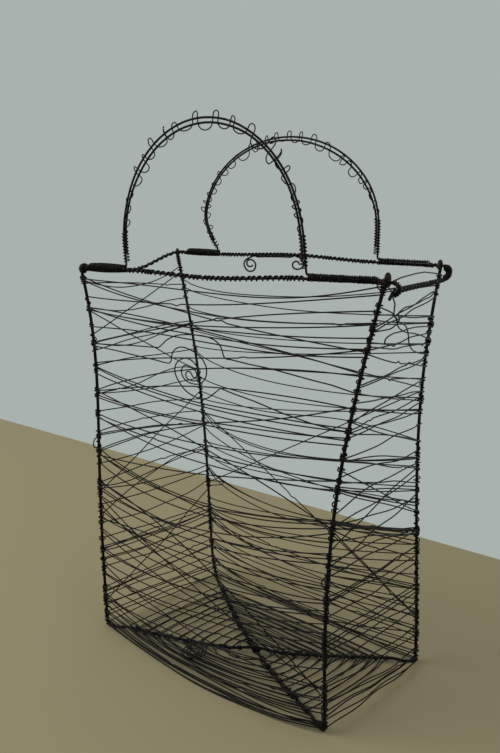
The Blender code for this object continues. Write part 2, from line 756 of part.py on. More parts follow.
def build():
    for old in list(bpy.data.objects):
        bpy.data.objects.remove(old)
    tube("rim_rod", rim_path(), RIM_DIAMETER, SIX_SIDES, IRON)
    standing_tube("frame_rod_left_right", frame_path("left"), POST_DIAMETER, EIGHT_SIDES, IRON)
    standing_tube("frame_rod_back_front", frame_path("back"), POST_DIAMETER, EIGHT_SIDES, RUSTY_WIRE)
    for name in RIM_SIDES:
        wound = wrap(name)
        tube("rim_wrap_" + name, wound, BINDING_DIAMETER, LEAST_SIDES, DARK_WIRE)
        report_gap("rim_wrap_" + name, wound, BINDING_DIAMETER, 5)
    wound = lashing()
    tube("floor_crossing_lashing", wound, BINDING_DIAMETER, LEAST_SIDES, DARK_WIRE)
    report_gap("floor_crossing_lashing", wound, BINDING_DIAMETER, 5)
    for side in HANDLES:
        build_handle(Handle(side))
    for name, points in (("back_rim_scroll", rim_scroll()), ("front_scroll", front_scroll()),
                         ("floor_scroll", floor_scroll())):
        tube(name, points, SCROLL_DIAMETER, LEAST_SIDES, DARK_WIRE)
    for side, left, right in SIDES:
        for band, first, count, step in WALL_WIRES:
            points = wall_wire(side, left, right, count, first, step)
            tube(f"weave_{side}_{band}", points, WEAVE_DIAMETER, LEAST_SIDES, DARK_WIRE)
        points = floor_wire(side, left, right)
        tube(f"floor_wire_{side}", points, WEAVE_DIAMETER, LEAST_SIDES, DARK_WIRE)


def build_handle(handle):
    anchor = handle.hinge()
    name = handle.side + "_handle_"
    tube(name + "outer_rod", handle.outer_rod(), HANDLE_DIAMETER, SIX_SIDES, IRON, anchor)
    tube(name + "inner_rod", handle.inner_rod(), HANDLE_DIAMETER, SIX_SIDES, IRON, anchor)
    wound = handle.coil()
    tube(name + "coil", wound, BINDING_DIAMETER, SIX_SIDES, DARK_WIRE, anchor)
    report_gap(name + "coil", wound, BINDING_DIAMETER, 5)
    print(name + "hinge at", tuple(round(v, 5) for v in anchor.location),
          "along", tuple(round(v, 5) for v in handle.along))
    for end in ("left", "right"):
        wound = handle.binding(end == "left")
        label = f"foot_binding_{handle.side}_{end}"
        tube(label, wound, BINDING_DIAMETER, LEAST_SIDES, DARK_WIRE)
        report_gap(label, wound, BINDING_DIAMETER, 5)


build()
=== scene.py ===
"""The looks of a shopping bag bent, wound and laced by hand from black annealed iron wire.

Every wire is drawn out straight from a round end, cut across where it will bend, and bent on to
its path. Paths are in millimetres, +X along the front and +Y to the back, and meshes in metres.
"""

import math
import random

import bmesh
import bpy
from mathutils import Euler, Matrix, Vector


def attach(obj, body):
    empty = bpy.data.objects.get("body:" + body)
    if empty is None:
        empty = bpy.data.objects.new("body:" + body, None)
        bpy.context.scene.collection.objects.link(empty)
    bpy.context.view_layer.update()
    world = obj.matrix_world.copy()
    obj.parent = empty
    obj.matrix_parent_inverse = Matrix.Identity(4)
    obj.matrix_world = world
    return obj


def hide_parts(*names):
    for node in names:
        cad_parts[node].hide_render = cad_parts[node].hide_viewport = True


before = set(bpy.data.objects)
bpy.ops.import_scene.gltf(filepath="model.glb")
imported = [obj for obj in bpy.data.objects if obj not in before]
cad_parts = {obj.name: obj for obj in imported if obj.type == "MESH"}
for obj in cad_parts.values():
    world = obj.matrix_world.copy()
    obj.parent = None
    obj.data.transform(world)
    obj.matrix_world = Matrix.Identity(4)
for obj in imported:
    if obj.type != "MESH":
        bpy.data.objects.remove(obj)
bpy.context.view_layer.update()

MM = 0.001
UP = Vector((0, 0, 1))
chance = random.Random(11)

# The photograph's frame and the camera that took it
FRAME_WIDTH, FRAME_HEIGHT = 500, 753
CAMERA_PLACE = Vector((427.1, -587.6, 460.0))
CAMERA_TURN = Euler((math.radians(76.46), 0, math.radians(37.0)))
LENS, SENSOR = 37.29, 36.0

# Stage, in metres: where the ground ends behind the bag, half its size, and how far below it lies
GROUND_END, GROUND_HALF, GROUND_DROP = 0.3335, 3.0, 0.0002
GROUND_COLOUR = (0.305, 0.258, 0.150)
BACKDROP_COLOUR = (0.40, 0.445, 0.425)
DAYLIGHT = (0.48, 0.51, 0.50)

# Wires
POST_DIAMETER = 3.0
RIM_DIAMETER = 2.5
HANDLE_DIAMETER = 1.9
BINDING_DIAMETER = 0.9
ROPE_DIAMETER = 1.1
WEAVE_DIAMETER = 1.2
SCROLL_DIAMETER = 1.3
RIM_SPIRAL_DIAMETER = 1.8
POST_RADIUS = POST_DIAMETER / 2
RIM_RADIUS = RIM_DIAMETER / 2
GAP = 0.3
CROSSING_GAP = 0.6

# How deep the relief of the iron's skin is, in metres
SKIN_RELIEF = 0.00012

# How many sides each kind of wire has, and how many points one turn of a winding
POST_SIDES, ROD_SIDES, RIM_SPIRAL_SIDES, ROPE_SIDES, THIN_SIDES = 16, 14, 10, 8, 7
TURN_STEPS = 12

# Main sizes. Each hand-bent corner strays a little from the straight box that they give
MOUTH_LENGTH, MOUTH_WIDTH, RIM_HEIGHT = 306.0, 157.0, 390.0
BASE_LENGTH, BASE_WIDTH = 279.0, 152.0


def bent_corner(length, width, height, stray):
    return Vector((length / 2 + stray[0], width / 2 + stray[1], height + stray[2]))


# Rim rod, with its two long sides' sag and rise between the handles' feet
RIM_CORNERS = {
    "left": bent_corner(-MOUTH_LENGTH, -MOUTH_WIDTH, RIM_HEIGHT, (6.8, -12.4, -3.0)),
    "front": bent_corner(MOUTH_LENGTH, -MOUTH_WIDTH, RIM_HEIGHT, (12.2, 15.2, 2.3)),
    "right": bent_corner(MOUTH_LENGTH, MOUTH_WIDTH, RIM_HEIGHT, (-14.2, 11.5, 1.5)),
    "back": bent_corner(-MOUTH_LENGTH, MOUTH_WIDTH, RIM_HEIGHT, (-15.9, -10.9, 1.1)),
}
FRONT_RIM_SAG = 3.5
BACK_RIM_RISE = 3.0
SIDE_RIM_DIP = 10.5
RIM_BEND_RADIUS = 6.0
RIM_U_RADIUS = 6.2
RIM_TAIL = 10.0
RIM_TAIL_DROP = 5.0
HOOK_RADIUS = 4.6
RIM_HANG = 2 * HOOK_RADIUS - RIM_DIAMETER - GAP
# Where the back and the right of the rim are straight enough to take their direction
BACK_RIM_PLACE, RIGHT_RIM_PLACE = 200.0, 80.0

# Frame rods: each is two posts and the floor diagonal between them, and is ground flat under its
# corners. A waist is how far a post bows to one side, and at which share of its height
BASE_CORNERS = {
    "left": bent_corner(-BASE_LENGTH, -BASE_WIDTH, 0, (-13.2, 2.0, 0)),
    "front": bent_corner(BASE_LENGTH, -BASE_WIDTH, 0, (-13.5, -4.2, 0)),
    "right": bent_corner(BASE_LENGTH, BASE_WIDTH, 0, (3.4, -12.3, 0)),
    "back": bent_corner(-BASE_LENGTH, BASE_WIDTH, 0, (-1.1, 14.8, 0)),
}
BASE_BEND_RADIUS = {"left": 6.0, "front": 4.5, "right": 4.5, "back": 30.0}
FLAT_CUT = 0.35
PAD_HEIGHT = POST_RADIUS - FLAT_CUT
PAD_LENGTH = 6.0
ARM_RISE_LENGTH = 14.0
ARM_HEIGHT = 4.2
ARM_BOW = {"left": 22.4, "right": 22.4, "back": 17.2, "front": 17.2}
CROSSING_HUMP_LENGTH = 30.0
OVER_CROSSING = POST_DIAMETER + CROSSING_GAP
ARMS = {"left": "right", "right": "left", "back": "front", "front": "back"}
WAIST = {"left": 11.0, "front": -18.0, "right": -12.0, "back": 12.0}
WAIST_HEIGHT = {"left": 0.76, "front": 0.5, "right": 0.62, "back": 0.58}
EYE_STRETCH = {"left": 0.0, "front": 3.0, "right": 1.0, "back": 0.0}
FRONT_EYE_INSET = 5.0
RIGHT_EYE_INSET = 4.5
EYE_TAIL_DEGREES = 50.0
EYE_RADIUS = (RIM_RADIUS + POST_RADIUS + GAP) / math.cos(math.radians(15))

# Handles: along the rim from the left-hand corner, and up from the hinge line
HANDLES = {
    "front": {"feet": (56.5, 238.6), "middle": 145.2, "half_width": 90.8, "leg": 20.0,
              "height": 122.5, "pins": (12.0, 298.0)},
    "back": {"feet": (60.2, 240.9), "middle": 140.4, "half_width": 100.7, "leg": 30.0,
             "height": 114.5, "pins": (18.0, 292.0)},
}
FOOT_BEND_RADIUS = 3.0
FOOT_RUN = 9.0
OUTER_ROD_START = 0.06
# How far apart a handle's two rods are, at shares of the way from its left foot to its right one
ROD_SPREADS = {
    "front": ((0, 2.3), (0.2, 2.5), (0.3, 3.9), (0.45, 4.3), (0.55, 3.8), (0.64, 2.5), (1, 2.3)),
    "back": ((0, 2.3), (0.42, 2.3), (0.52, 3.2), (0.62, 4.0), (0.76, 3.6), (0.84, 2.4), (1, 2.3)),
}
INNER_ROD_LIFT = 12.0
# The legs take this share of the way, and draw in to the feet below a height
LEG_SHARE = 0.12
FOOT_TUCK_HEIGHT = 44.0
PIN_LIFT = RIM_RADIUS + HANDLE_DIAMETER / 2 + GAP
COIL_DIAMETER = 1.05
COIL_LIFT, COIL_ROOM, COIL_TOP = 5.0, 0.1, 523.4
LEG_TURN, LEG_TURN_SLACK, LEG_TOP_ROOM = 2.7, 0.35, 2.0
LOOP_STEPS = 8
# A loop that stands out further than this is deeper too, by this share of the rest
LOOSE_LOOP_REACH, LOOSE_LOOP_DEPTH = 2.4, 0.45
# How far a loop bulges along the handle: a share of the way to the next one, up to a limit
LOOP_BULGE, MOST_LOOP_BULGE = 0.16, 0.004

# The loops round each handle, as places in the photograph: outside the rods, inside, and so on
HANDLE_LOOPS = {
    "front": (
        (125, 229), (129.5, 224), (125.5, 216), (130, 211), (126.5, 200), (132, 197),
        (130.5, 188), (140.5, 183), (134.2, 168), (147.3, 171.5), (142.3, 155.5), (152.3, 158.7),
        (148.2, 140), (163.7, 146), (163.7, 126.7), (170.5, 139.7), (172.5, 123.5),
        (186, 130.6), (195.5, 111), (204.7, 130), (216.3, 110.2), (223.8, 128.8),
        (233, 115.6), (238, 133.2), (253.8, 124.4), (254.5, 148), (275.6, 138.5), (268.5, 164),
        (281, 149), (277.5, 168), (290, 167.4), (282.4, 180), (295.6, 188.7), (292, 200),
        (299.5, 202.5), (292.4, 207), (301, 210.8), (294.4, 215.2), (302.8, 221), (298, 230.7)),
    "back": (
        (207.5, 232.7), (212.8, 227.5), (204.3, 223), (210.3, 215.7), (201.5, 208.4),
        (210.7, 207), (203.5, 201.7), (211.3, 201), (207.3, 193.7), (215.7, 193), (212, 184.2),
        (219.7, 184), (218, 172.2), (226.6, 175), (226, 166), (232.7, 168), (235.5, 155.8),
        (244.7, 160), (251, 142.6), (255.5, 152), (257.3, 141.5), (261.5, 149), (267.5, 135.6),
        (271, 143.5), (276.5, 132.6), (282, 141.3), (290.5, 130.8), (294.3, 142.6),
        (302, 131.8), (304.8, 144.7), (315.3, 134.5), (319, 151), (328, 142.2), (333.3, 160.2),
        (344.7, 156.5), (340, 164), (350.5, 161.8), (350.7, 176.4), (361, 172.2),
        (360, 183.4), (366.5, 180.5), (364, 188), (370.5, 189.5), (370, 198), (377, 203.7),
        (373.5, 208), (379, 211.7), (375.5, 216)),
}

# Windings: how far from each side's corners they begin and end, their pitch at the feet of the
# handles and half-way between them, and how unevenly they are wound
RIM_WINDING_INSET = {"front": (5, 8), "back": (5, 7), "left": (6, 6), "right": (1, 1)}
RIM_WINDING_PITCH = {"front": (3.6, 5.2), "back": (3.4, 4.6), "left": (8.5, 8.5), "right": (10.0, 10.0)}
RIM_ROPE_DIAMETER = {"front": 1.5, "back": 1.35, "left": 1.35, "right": 1.35}
RIM_WINDING_STRAY = (-0.05, 0.12)
RIM_WINDING_UNEVEN = (0.65, 1.35)
ROPE_BITE = 0.25
LEG_ROOM = 0.7

# Bindings over the handles' feet, left and right: their pitch, and how far they swell half-way
BINDING_PITCH = {"front": (1.35, 1.5), "back": (1.1, 1.6)}
BINDING_SWELL = {"front": (1.05, -0.45), "back": (0.5, -0.3)}
BINDING_TAPER = 5.0
BINDING_FOOT_ROOM, BINDING_ROOM = 2.0, 0.05
BINDING_UNEVEN = (-0.15, 0.3)
LEFT_BINDING_EVENNESS = 0.4

# The lashing over the floor's crossing, one way and the other
LASHING_TURNS = (5, 4)
LASHING_PITCH, LASHING_ROOM = 1.15, 0.2

# The balls of wire over the left and back corners as length, radius and turns, the turns just
# under the back curl, and the rope wire on the rim's two upright bends, which half closes the U
LEFT_KNOB_PLACE = (1.5, 0.0, -0.5)
LEFT_KNOB = (8.4, 3.7, 8)
BACK_KNOB = (6.0, 2.6, 5)
TOP_WINDING_DROP = 16.0
TOP_WINDING_LENGTH, TOP_WINDING_TURNS = 12.0, 6
HOOK_TURNS, U_TURNS = 9, 12
U_WINDING_INSET, U_WINDING_SWELL = 1.4, 1.2

# Weave: each wall is laced between two posts, and bows outwards more and more below a height
SIDES = {"front": ("left", "front"), "right": ("front", "right"),
         "back": ("back", "right"), "left": ("left", "back")}
# A place near the middle of each wall, in the photograph
SIDE_MIDDLES = {"front": (230, 400), "right": (400, 400), "back": (300, 400), "left": (150, 400)}
WEAVE_BOW = {"front": 22.0, "right": 3.0, "back": 4.0, "left": 3.0}
LEAST_BOW, MOST_BOW = 0.01, 16.8
WEAVE_BOW_HEIGHT = 110.0
LEAST_HEIGHT = WEAVE_DIAMETER / 2 + 0.1
STRAND_STEP = 11.0
LACING_STEP_DEGREES = 36
# How far a turn may stand off its post, how often a strand has a kink, and how high
LOOSEST_TURN = 1.0
KINK_CHANCE = 0.22
KINK_SIZES = (0.8, 2.0)
# How far a wire climbs a post in its first and last turns, from which climb on it has turns of its
# own and one for how many mm, and the climb past which a new wire begins
TIE_CLIMB = 2.5
LEAST_CLIMB, TURN_CLIMB, MOST_TURNS = 4.0, 7.0, 4
LONGEST_CLIMB = 22.0
# The strands of the side walls and quarters go round the posts outside those of the front and back
SIDE_WALL_REACH, SIDE_FLOOR_REACH = 0.4, 0.3

# The floor's quarters: how many strands, at which share of its two arms the first one lies, how far
# the strands bow out near the crossing and at the wall, and in how many bands they lie
FLOOR_QUARTERS = {
    "front": (15, (0.20, 0.10), (8.0, 17.0), 10),
    "right": (20, (0.12, 0.12), (1.0, 6.0), 20),
    "back": (21, (0.10, 0.10), (0.5, 3.0), 21),
    "left": (22, (0.10, 0.10), (1.5, 3.0), 22),
}
FLOOR_WAVER, FLOOR_STRAY = 0.4, 0.012
FLOOR_BOW_LENGTH = 80.0
FLOOR_TURN_CHANCE = 0.4
BAND_WIDTH, BAND_STRAY, LAST_BAND = 0.55, 0.25, 0.4
# The strands keep off the ends of the floor's arms, and off where these come down to the ground
ARM_END_ROOM, FULL_ARM_HEIGHT = 12.0, 3.9
BAG_MIDDLE = Vector((0, -5, 200))

# Where each wall's wire meets its two posts, as rows of the photograph, how far it dips between
# them, and how far it sways: down in its first half and up in its second
WALL_RUNS = {
    "front": (
        (278, 286, 12, -5), (297, 295, 8), (279, 323, 17), (278, 353, 9), (310, 325, 11),
        (309, 338, 8), (307, 349, 12), (326, 357, 3, -3), (343, 311, -9), (363, 350, 1, -3),
        (308, 375, -5), (365, 428, 11), (369, 433, 12), (372, 440, 11), (390, 376, -16),
        (390, 528, -6), (394, 410, -14), (396, 445, 8), (396, 439, 9), (415, 461, 12),
        (415, 491, 14), (416, 480, 10), (435, 407, 0, -3), (450, 521, 24), (451, 523, 24),
        (452, 542, 17, -3), (456, 482, 8), (464, 529, 26), (481, 697, -20), (491, 534, 24),
        (494, 690, 10), (482, 560, 22), (484, 553, 22), (497, 565, 20), (507, 600, 20),
        (507, 640, 20), (517, 586, 4, -3), (518, 591, 12), (528, 655, 18), (530, 605, 20),
        (548, 610, 18), (549, 617, 18), (559, 623, 18), (566, 690, 18), (570, 632, 16),
        (575, 645, 16), (585, 655, 16), (590, 700, 16), (594, 668, 15), (598, 690, 14),
        (600, 724, 13), (601, 726, 13), (607, 700, 13), (610, 708, 13), (612, 715, 13),
        (616, 722, 13), (618, 726, 13), (620, 727, 13), (622, 728, 13), (623, 724, 12)),
    "right": (
        (314, 316, 1), (321, 323, 1), (330, 294, 1), (331, 292, 2), (349, 330, 2),
        (342, 343, 1), (349, 344, 1), (354, 366, 2), (376, 379, 1), (384, 355, 1),
        (391, 361, 1), (393, 401, 1), (402, 391, 0), (421, 377, -1), (410, 414, 1),
        (422, 441, 2), (433, 398, 2), (432, 409, 1), (441, 404, 2), (433, 441, -3),
        (457, 423, 2), (460, 457, -2), (460, 468, 0), (480, 452, 1, -3), (512, 462, -6),
        (471, 511, 2), (482, 482, 0), (488, 490, 0), (490, 503, 0), (492, 512, 1),
        (530, 476, 3), (556, 470, -3), (565, 491, 2), (528, 499, 2), (521, 530, 2),
        (522, 532, 1), (531, 528, 0), (540, 532, 0), (530, 563, -1, 2), (532, 617, 2),
        (524, 541, 0), (524, 545, 1), (575, 529, -1), (565, 530, -2), (559, 578, 0),
        (567, 585, -1), (568, 586, 1), (576, 589, 0), (600, 543, 2), (600, 548, 2),
        (601, 553, 2), (582, 617, 1), (590, 630, 1), (600, 636, 1), (620, 564, 3),
        (640, 585, 2), (645, 589, 2), (646, 590, 1), (650, 600, 2), (620, 650, 1),
        (621, 633, 0), (668, 610, 3), (680, 622, 3), (690, 636, 3), (700, 655, 2),
        (707, 650, 2), (715, 661, 1), (718, 660, 1), (720, 662, 0), (726, 662, 0)),
    "back": (
        (280, 285, 16), (288, 316, 10), (306, 323, 10), (326, 344, 7), (331, 388, 0),
        (345, 352, 6), (352, 398, 16), (369, 379, -3), (377, 411, 12), (397, 409, 8),
        (392, 441, 1, 5), (412, 617, 0), (413, 457, 25), (413, 459, 25), (424, 505, 19),
        (440, 466, 6), (442, 487, 15), (450, 490, 20), (457, 503, 5), (465, 530, 21),
        (467, 532, 21), (470, 535, 26), (482, 391, 0), (496, 533, 6), (507, 545, 14),
        (508, 553, 16), (509, 590, 14), (509, 530, 3), (512, 610, 18), (512, 588, 23),
        (515, 560, 18), (520, 575, 18), (527, 598, 17), (538, 625, 13), (540, 605, 12),
        (541, 614, 13), (547, 630, 13), (555, 640, 13), (557, 658, 13), (560, 645, 12),
        (565, 650, 10), (570, 655, 9), (574, 658, 8)),
    "left": (
        (279, 267, 14), (283, 284, -1), (333, 271, 0), (308, 298, 4, 2), (309, 369, 2),
        (343, 321, -2), (343, 324, 6, 2), (351, 324, 0), (366, 349, -1), (390, 369, -3, 4),
        (394, 378, 3), (412, 399, -2), (430, 411, -5), (435, 424, -3), (450, 424, -4),
        (451, 425, -5), (462, 424, 5), (489, 389, 0), (481, 448, -4), (487, 450, 3, 3),
        (489, 466, 5), (503, 469, 2), (517, 446, -9), (523, 481, 8), (539, 506, 0),
        (548, 508, -2), (598, 486, 2), (545, 510, 2), (549, 512, 3), (552, 515, 3),
        (558, 520, 2), (559, 521, 3), (565, 530, 2), (588, 540, 1), (590, 543, 1),
        (592, 547, 0), (596, 556, 0), (603, 562, 0), (604, 566, 0), (610, 568, 0),
        (616, 574, 0), (621, 580, 0)),
}

# Where along its length each wall's strands dip most, under 1 being nearer the first post, how far
# they waver, and where a bow is fullest
WALL_LEAN = {"front": 0.9, "right": 1.0, "back": 0.75, "left": 1.0}
WALL_WAVER = {"front": 0.8, "right": 1.5, "back": 0.8, "left": 1.2}
WALL_SKEW = 1.15

# Wires traced one by one off the photograph: the wall, the post and row they are tied at, the
# places they pass, and the post and row they end at. The first holds the spiral.
TRACED_WIRES = (
    ("front", ("left", 345), (
        (118, 350), (140, 355.5), (158, 359.5), (170.2, 362.7), (173, 360.4), (173.6, 354.9),
        (175.8, 349.9), (181.3, 346.6), (186.9, 347.1), (193.6, 349.9), (200.2, 354.3),
        (204.7, 359.3), (208, 366), (208.6, 372.7), (206.3, 379.3), (201.3, 383.2), (193.6, 382.7),
        (187.4, 379.3), (184.1, 373.8), (183.8, 368.8), (186.3, 364.9), (190.2, 364.9),
        (194.7, 367.7), (197.4, 369.9), (199.1, 373.8), (198, 376.9), (195.2, 376), (193.6, 372.7),
        (191.9, 370.7), (189.3, 371), (188, 373.8), (189.7, 377.7), (193.6, 379.6), (197.4, 380),
        (201, 377.7), (201.5, 371), (198, 363.8), (193.6, 359.3), (188, 357.4), (182.4, 359.1),
        (178.6, 363.2), (177.4, 369.3), (179.1, 376), (183.6, 383.8), (189.1, 390.4),
        (196.9, 395.4), (204.7, 397.7), (210.2, 397.1), (215.8, 393.2), (223.6, 387.1),
        (225, 388.2), (237, 393), (257, 400.2), (274, 407.4), (286, 412.4), (313, 421.9),
        (335, 428)), ("front", 431)),
    ("front", ("left", 343), (
        (110, 344), (134, 345), (160, 347), (162, 346), (168, 340), (178, 335), (188, 334),
        (204, 335), (214, 338), (220, 342), (224, 348), (227, 357), (234, 359), (250, 363),
        (274, 368), (314, 379), (334, 384)), ("front", 393)),
    ("left", ("left", 438), ((96.6, 439.5), (95.8, 443.5), (96.6, 448)), ("left", 449)),
    ("front", ("front", 284), ((379.5, 283.5), (378.5, 286.5), (381, 288.5)), ("front", 292)),
    ("front", ("front", 576), ((326, 577), (323.5, 581), (325, 585)), ("front", 588)),
    ("right", ("front", 307), (
        (386, 310.5), (389, 312.2), (393, 317.2), (393.5, 323.2), (396.5, 328.2), (403, 331.7),
        (409, 332.2), (415, 333.7), (421, 336.2), (426, 338.7)), ("right", 341)),
    ("right", ("front", 285), (
        (388.6, 291), (388.8, 295.2), (391.5, 303.2), (390.3, 312), (392, 317.2), (395, 321.2),
        (401, 324.2), (403.5, 329.2), (404.5, 336.2), (405, 343.2), (409, 349.7), (417, 352.5)),
     ("right", 354)),
    ("right", ("right", 287), (
        (431, 292.2), (427.5, 296.2), (422, 298.2), (414, 302.7), (407, 305.2), (402, 306.2),
        (397, 309.7), (394, 313.2), (395, 319), (391, 324), (385, 328)), ("front", 331)),
    ("right", ("right", 326), (
        (420, 325.9), (412, 326.4), (404, 328.2), (399, 330.2), (390, 332.2), (383, 336.2),
        (380.2, 340.2), (380.8, 343)), None),
    ("right", ("right", 321), ((427.8, 321.5), (430.4, 322.5), (429, 325.5)), ("right", 327)),
    ("right", ("right", 334), ((426, 335.5), (427.6, 338.5), (427, 341)), ("right", 342)),
    ("right", ("right", 283), (
        (430, 282), (421, 281.5), (412, 283), (404, 284.5)), ("front", 289)),
    ("right", ("right", 277), (
        (436, 273.4), (430, 272.5), (421, 271.4), (412, 272.7), (404, 274.7), (396, 277)),
     ("front", 283)),
    ("back", ("back", 480), ((212, 481.5), (219, 482), (221.5, 483.5), (219, 485.5)), ("back", 486)),
)

# A traced wire lies this far outside the strands at its first place, and this much more at its last
TRACED_ROOM, TRACED_RISE = 0.5, 1.6

# The two spirals that hang from the back rim, as places in the photograph, from the rim inwards
RIM_SPIRALS = (
    ((254.3, 255.5), (251.8, 256.6), (247.9, 258.4), (245, 260.9), (244.1, 264.4), (245.7, 268.4),
     (248.2, 270.9), (251.1, 271.4), (253.9, 270.1), (255.4, 267.3), (255.6, 264.4), (254.3, 261.6),
     (251.8, 259.8), (249.3, 259.6), (247.5, 260.9), (246.8, 263), (247.5, 265.1), (249.3, 266.6),
     (251.6, 266.2), (252.9, 265)),
    ((294.3, 255.7), (297.1, 256.6), (300, 258), (302.1, 260.5), (303.6, 263.7), (302.9, 266.9),
     (300.4, 268.7), (297.1, 269.3), (294.3, 268.4), (292.7, 266.2), (292.7, 263.7), (294.3, 261.9),
     (296.4, 261.2), (298.6, 262.6), (299.6, 265.1)),
)
RIM_SPIRAL_PLACE = 120.0
RIM_SPIRAL_BEND = 4.0

# The spiral on the floor: at which share of the left diagonal it is tied, and how far its centre
# lies in front of it and back along it
FLOOR_SPIRAL_PLACE = 0.42
FLOOR_SPIRAL_FORWARD, FLOOR_SPIRAL_BACKWARD = 9.0, 14.0
FLOOR_SPIRAL_RADIUS, FLOOR_SPIRAL_EYE = 14.0, 2.5
FLOOR_SPIRAL_DIAMETER = 1.7
FLOOR_SPIRAL_TURNS = 3.1
FLOOR_SPIRAL_RISE = 1.2
FLOOR_SPIRAL_ROOM = 0.6
FLOOR_SPIRAL_TIE = 3.0


# Paths


def flat(vector):
    return Vector((vector.x, vector.y, 0)).normalized()


def level_side(along):
    """The level direction square to a line, to the right of its way."""
    return Vector((along.y, -along.x, 0)).normalized()


def outward(point, along):
    """The level direction square to a rim, away from the middle of the bag."""
    side = level_side(along)
    return side if side.dot(point) > 0 else -side


def spaced(first, last, count):
    """Evenly spaced numbers, with both ends."""
    return [first + (last - first) * i / (count - 1) for i in range(count)]


def arc(centre, radius, first, second, start, end, steps):
    """Points round a centre, from the start to the end angle, in the plane of two directions."""
    turns = [math.radians(a) for a in spaced(start, end, steps + 1)]
    return [centre + radius * (first * math.cos(a) + second * math.sin(a)) for a in turns]


def filleted(before, corner, after, radius, steps=8):
    """The arc that rounds a corner between two straight runs."""
    a = (before - corner).normalized()
    b = (after - corner).normalized()
    half = a.angle(b) / 2
    start = corner + a * radius / math.tan(half)
    end = corner + b * radius / math.tan(half)
    centre = corner + (a + b).normalized() * radius / math.sin(half)
    first, last = (start - centre).normalized(), (end - centre).normalized()
    return [centre + first.slerp(last, t) * radius for t in spaced(0, 1, steps + 1)]


def eased(points, reach):
    """The same path as a smooth curve through its points, in steps no longer than a reach."""
    ends = [2 * points[0] - points[1], *points, 2 * points[-1] - points[-2]]
    curve = []
    for a, b, c, d in zip(ends, ends[1:], ends[2:], ends[3:]):
        turn = (c - a).angle(d - b, 0)
        length = (c - b).length
        steps = max(1, min(math.ceil(length / reach), math.ceil(turn / 0.12)))
        out = (c - a).normalized() * length
        into = (d - b).normalized() * length
        for i in range(steps):
            t = i / steps
            curve.append((2 * t**3 - 3 * t**2 + 1) * b + (t**3 - 2 * t**2 + t) * out
                         + (3 * t**2 - 2 * t**3) * c + (t**3 - t**2) * into)
    return [*curve, points[-1]]


def between(s, first, last):
    """A smooth swell that is nothing outside the two ends and one half-way."""
    share = min(max((s - first) / (last - first), 0), 1)
    return math.sin(math.pi * share) ** 2


def smooth(share):
    """A share from 0 to 1 that starts and stops gently."""
    share = min(max(share, 0), 1)
    return share * share * (3 - 2 * share)


def rim_length(name):
    first, last = (RIM_CORNERS[corner] for corner in SIDES[name])
    return (first - last).length


def handle_side(name, rise, s):
    """A long side of the rim, s mm from its left end, lifted between the feet of its handle."""
    left, right = (RIM_CORNERS[corner] for corner in SIDES[name])
    return left + (right - left).normalized() * s + UP * rise * between(s, *HANDLES[name]["feet"])


def front_rim(s):
    return handle_side("front", -FRONT_RIM_SAG, s)


def back_rim(s):
    return handle_side("back", BACK_RIM_RISE, s)


def left_rim(s):
    share = s / rim_length("left")
    dip = SIDE_RIM_DIP * math.sin(math.pi * share) ** 2
    return RIM_CORNERS["left"].lerp(RIM_CORNERS["back"], share) - UP * dip


def right_rim(s):
    """The right of the rim, from the foot of the upright U to the hook at the front corner."""
    start = RIM_CORNERS["right"] - UP * 2 * RIM_U_RADIUS
    return start.lerp(RIM_CORNERS["front"] - UP * RIM_HANG, s / rim_length("right"))


RIM_SIDES = {"front": front_rim, "back": back_rim, "left": left_rim, "right": right_rim}


def rim_knots(name, start, end, count):
    return [RIM_SIDES[name](s) for s in spaced(start, end, count)]


def rim_tangent(name, s):
    return (RIM_SIDES[name](s + 1) - RIM_SIDES[name](s - 1)).normalized()


def u_facing():
    """The level direction in which the rim's upright U points, out of the right corner."""
    back, right = rim_tangent("back", BACK_RIM_PLACE), rim_tangent("right", RIGHT_RIM_PLACE)
    return flat((back - right).normalized())


def rim_corner(name, steps=8):
    far = rim_length("left")
    ends = {"left": (front_rim(20), left_rim(12)), "back": (left_rim(far - 12), back_rim(20))}
    return filleted(ends[name][0], RIM_CORNERS[name], ends[name][1], RIM_BEND_RADIUS, steps)


def rim_path():
    """The whole rim rod, from its hook at the front corner right round to its tail beside it."""
    corner, right = RIM_CORNERS["front"], RIM_CORNERS["right"]
    along = rim_tangent("front", rim_length("front"))
    hook = arc(corner - UP * HOOK_RADIUS, HOOK_RADIUS, along, UP, -110, 90, 14)
    front = rim_knots("front", rim_length("front") - 10, 15, 30)
    left = rim_knots("left", 15, rim_length("left") - 15, 16)
    back = rim_knots("back", 15, rim_length("back") - 9, 30)
    bend = arc(right - UP * RIM_U_RADIUS, RIM_U_RADIUS, u_facing(), UP, 90, -90, 12)
    side = rim_knots("right", 10, rim_length("right"), 12)
    tail = side[-1] + flat(rim_tangent("right", RIGHT_RIM_PLACE)) * RIM_TAIL - UP * RIM_TAIL_DROP
    return [*hook, *front, *rim_corner("left"), *left, *rim_corner("back"), *back, *bend, *side, tail]


def eye_seat(name):
    """Where a post curls over the rim: the rim rod's centre, and the rim's direction there."""
    if name in ("left", "back"):
        bend = rim_corner(name, 4)
        return bend[2], (bend[3] - bend[1]).normalized()
    if name == "front":
        s = rim_length("front") - FRONT_EYE_INSET
        return front_rim(s), rim_tangent("front", s)
    s = rim_length("back") - RIGHT_EYE_INSET
    return back_rim(s), rim_tangent("back", s)


def eye(name):
    """The curl at a post's top, from the post over the rim to its tail inside."""
    centre, along = eye_seat(name)
    out = outward(centre, along)
    over = arc(centre + UP * EYE_STRETCH[name], EYE_RADIUS, out, UP, 0, 180, 12)
    under = arc(centre, EYE_RADIUS, out, UP, 180, 180 + EYE_TAIL_DEGREES, 4)
    return [*over, *(under[1:] if EYE_STRETCH[name] == 0 else under)]


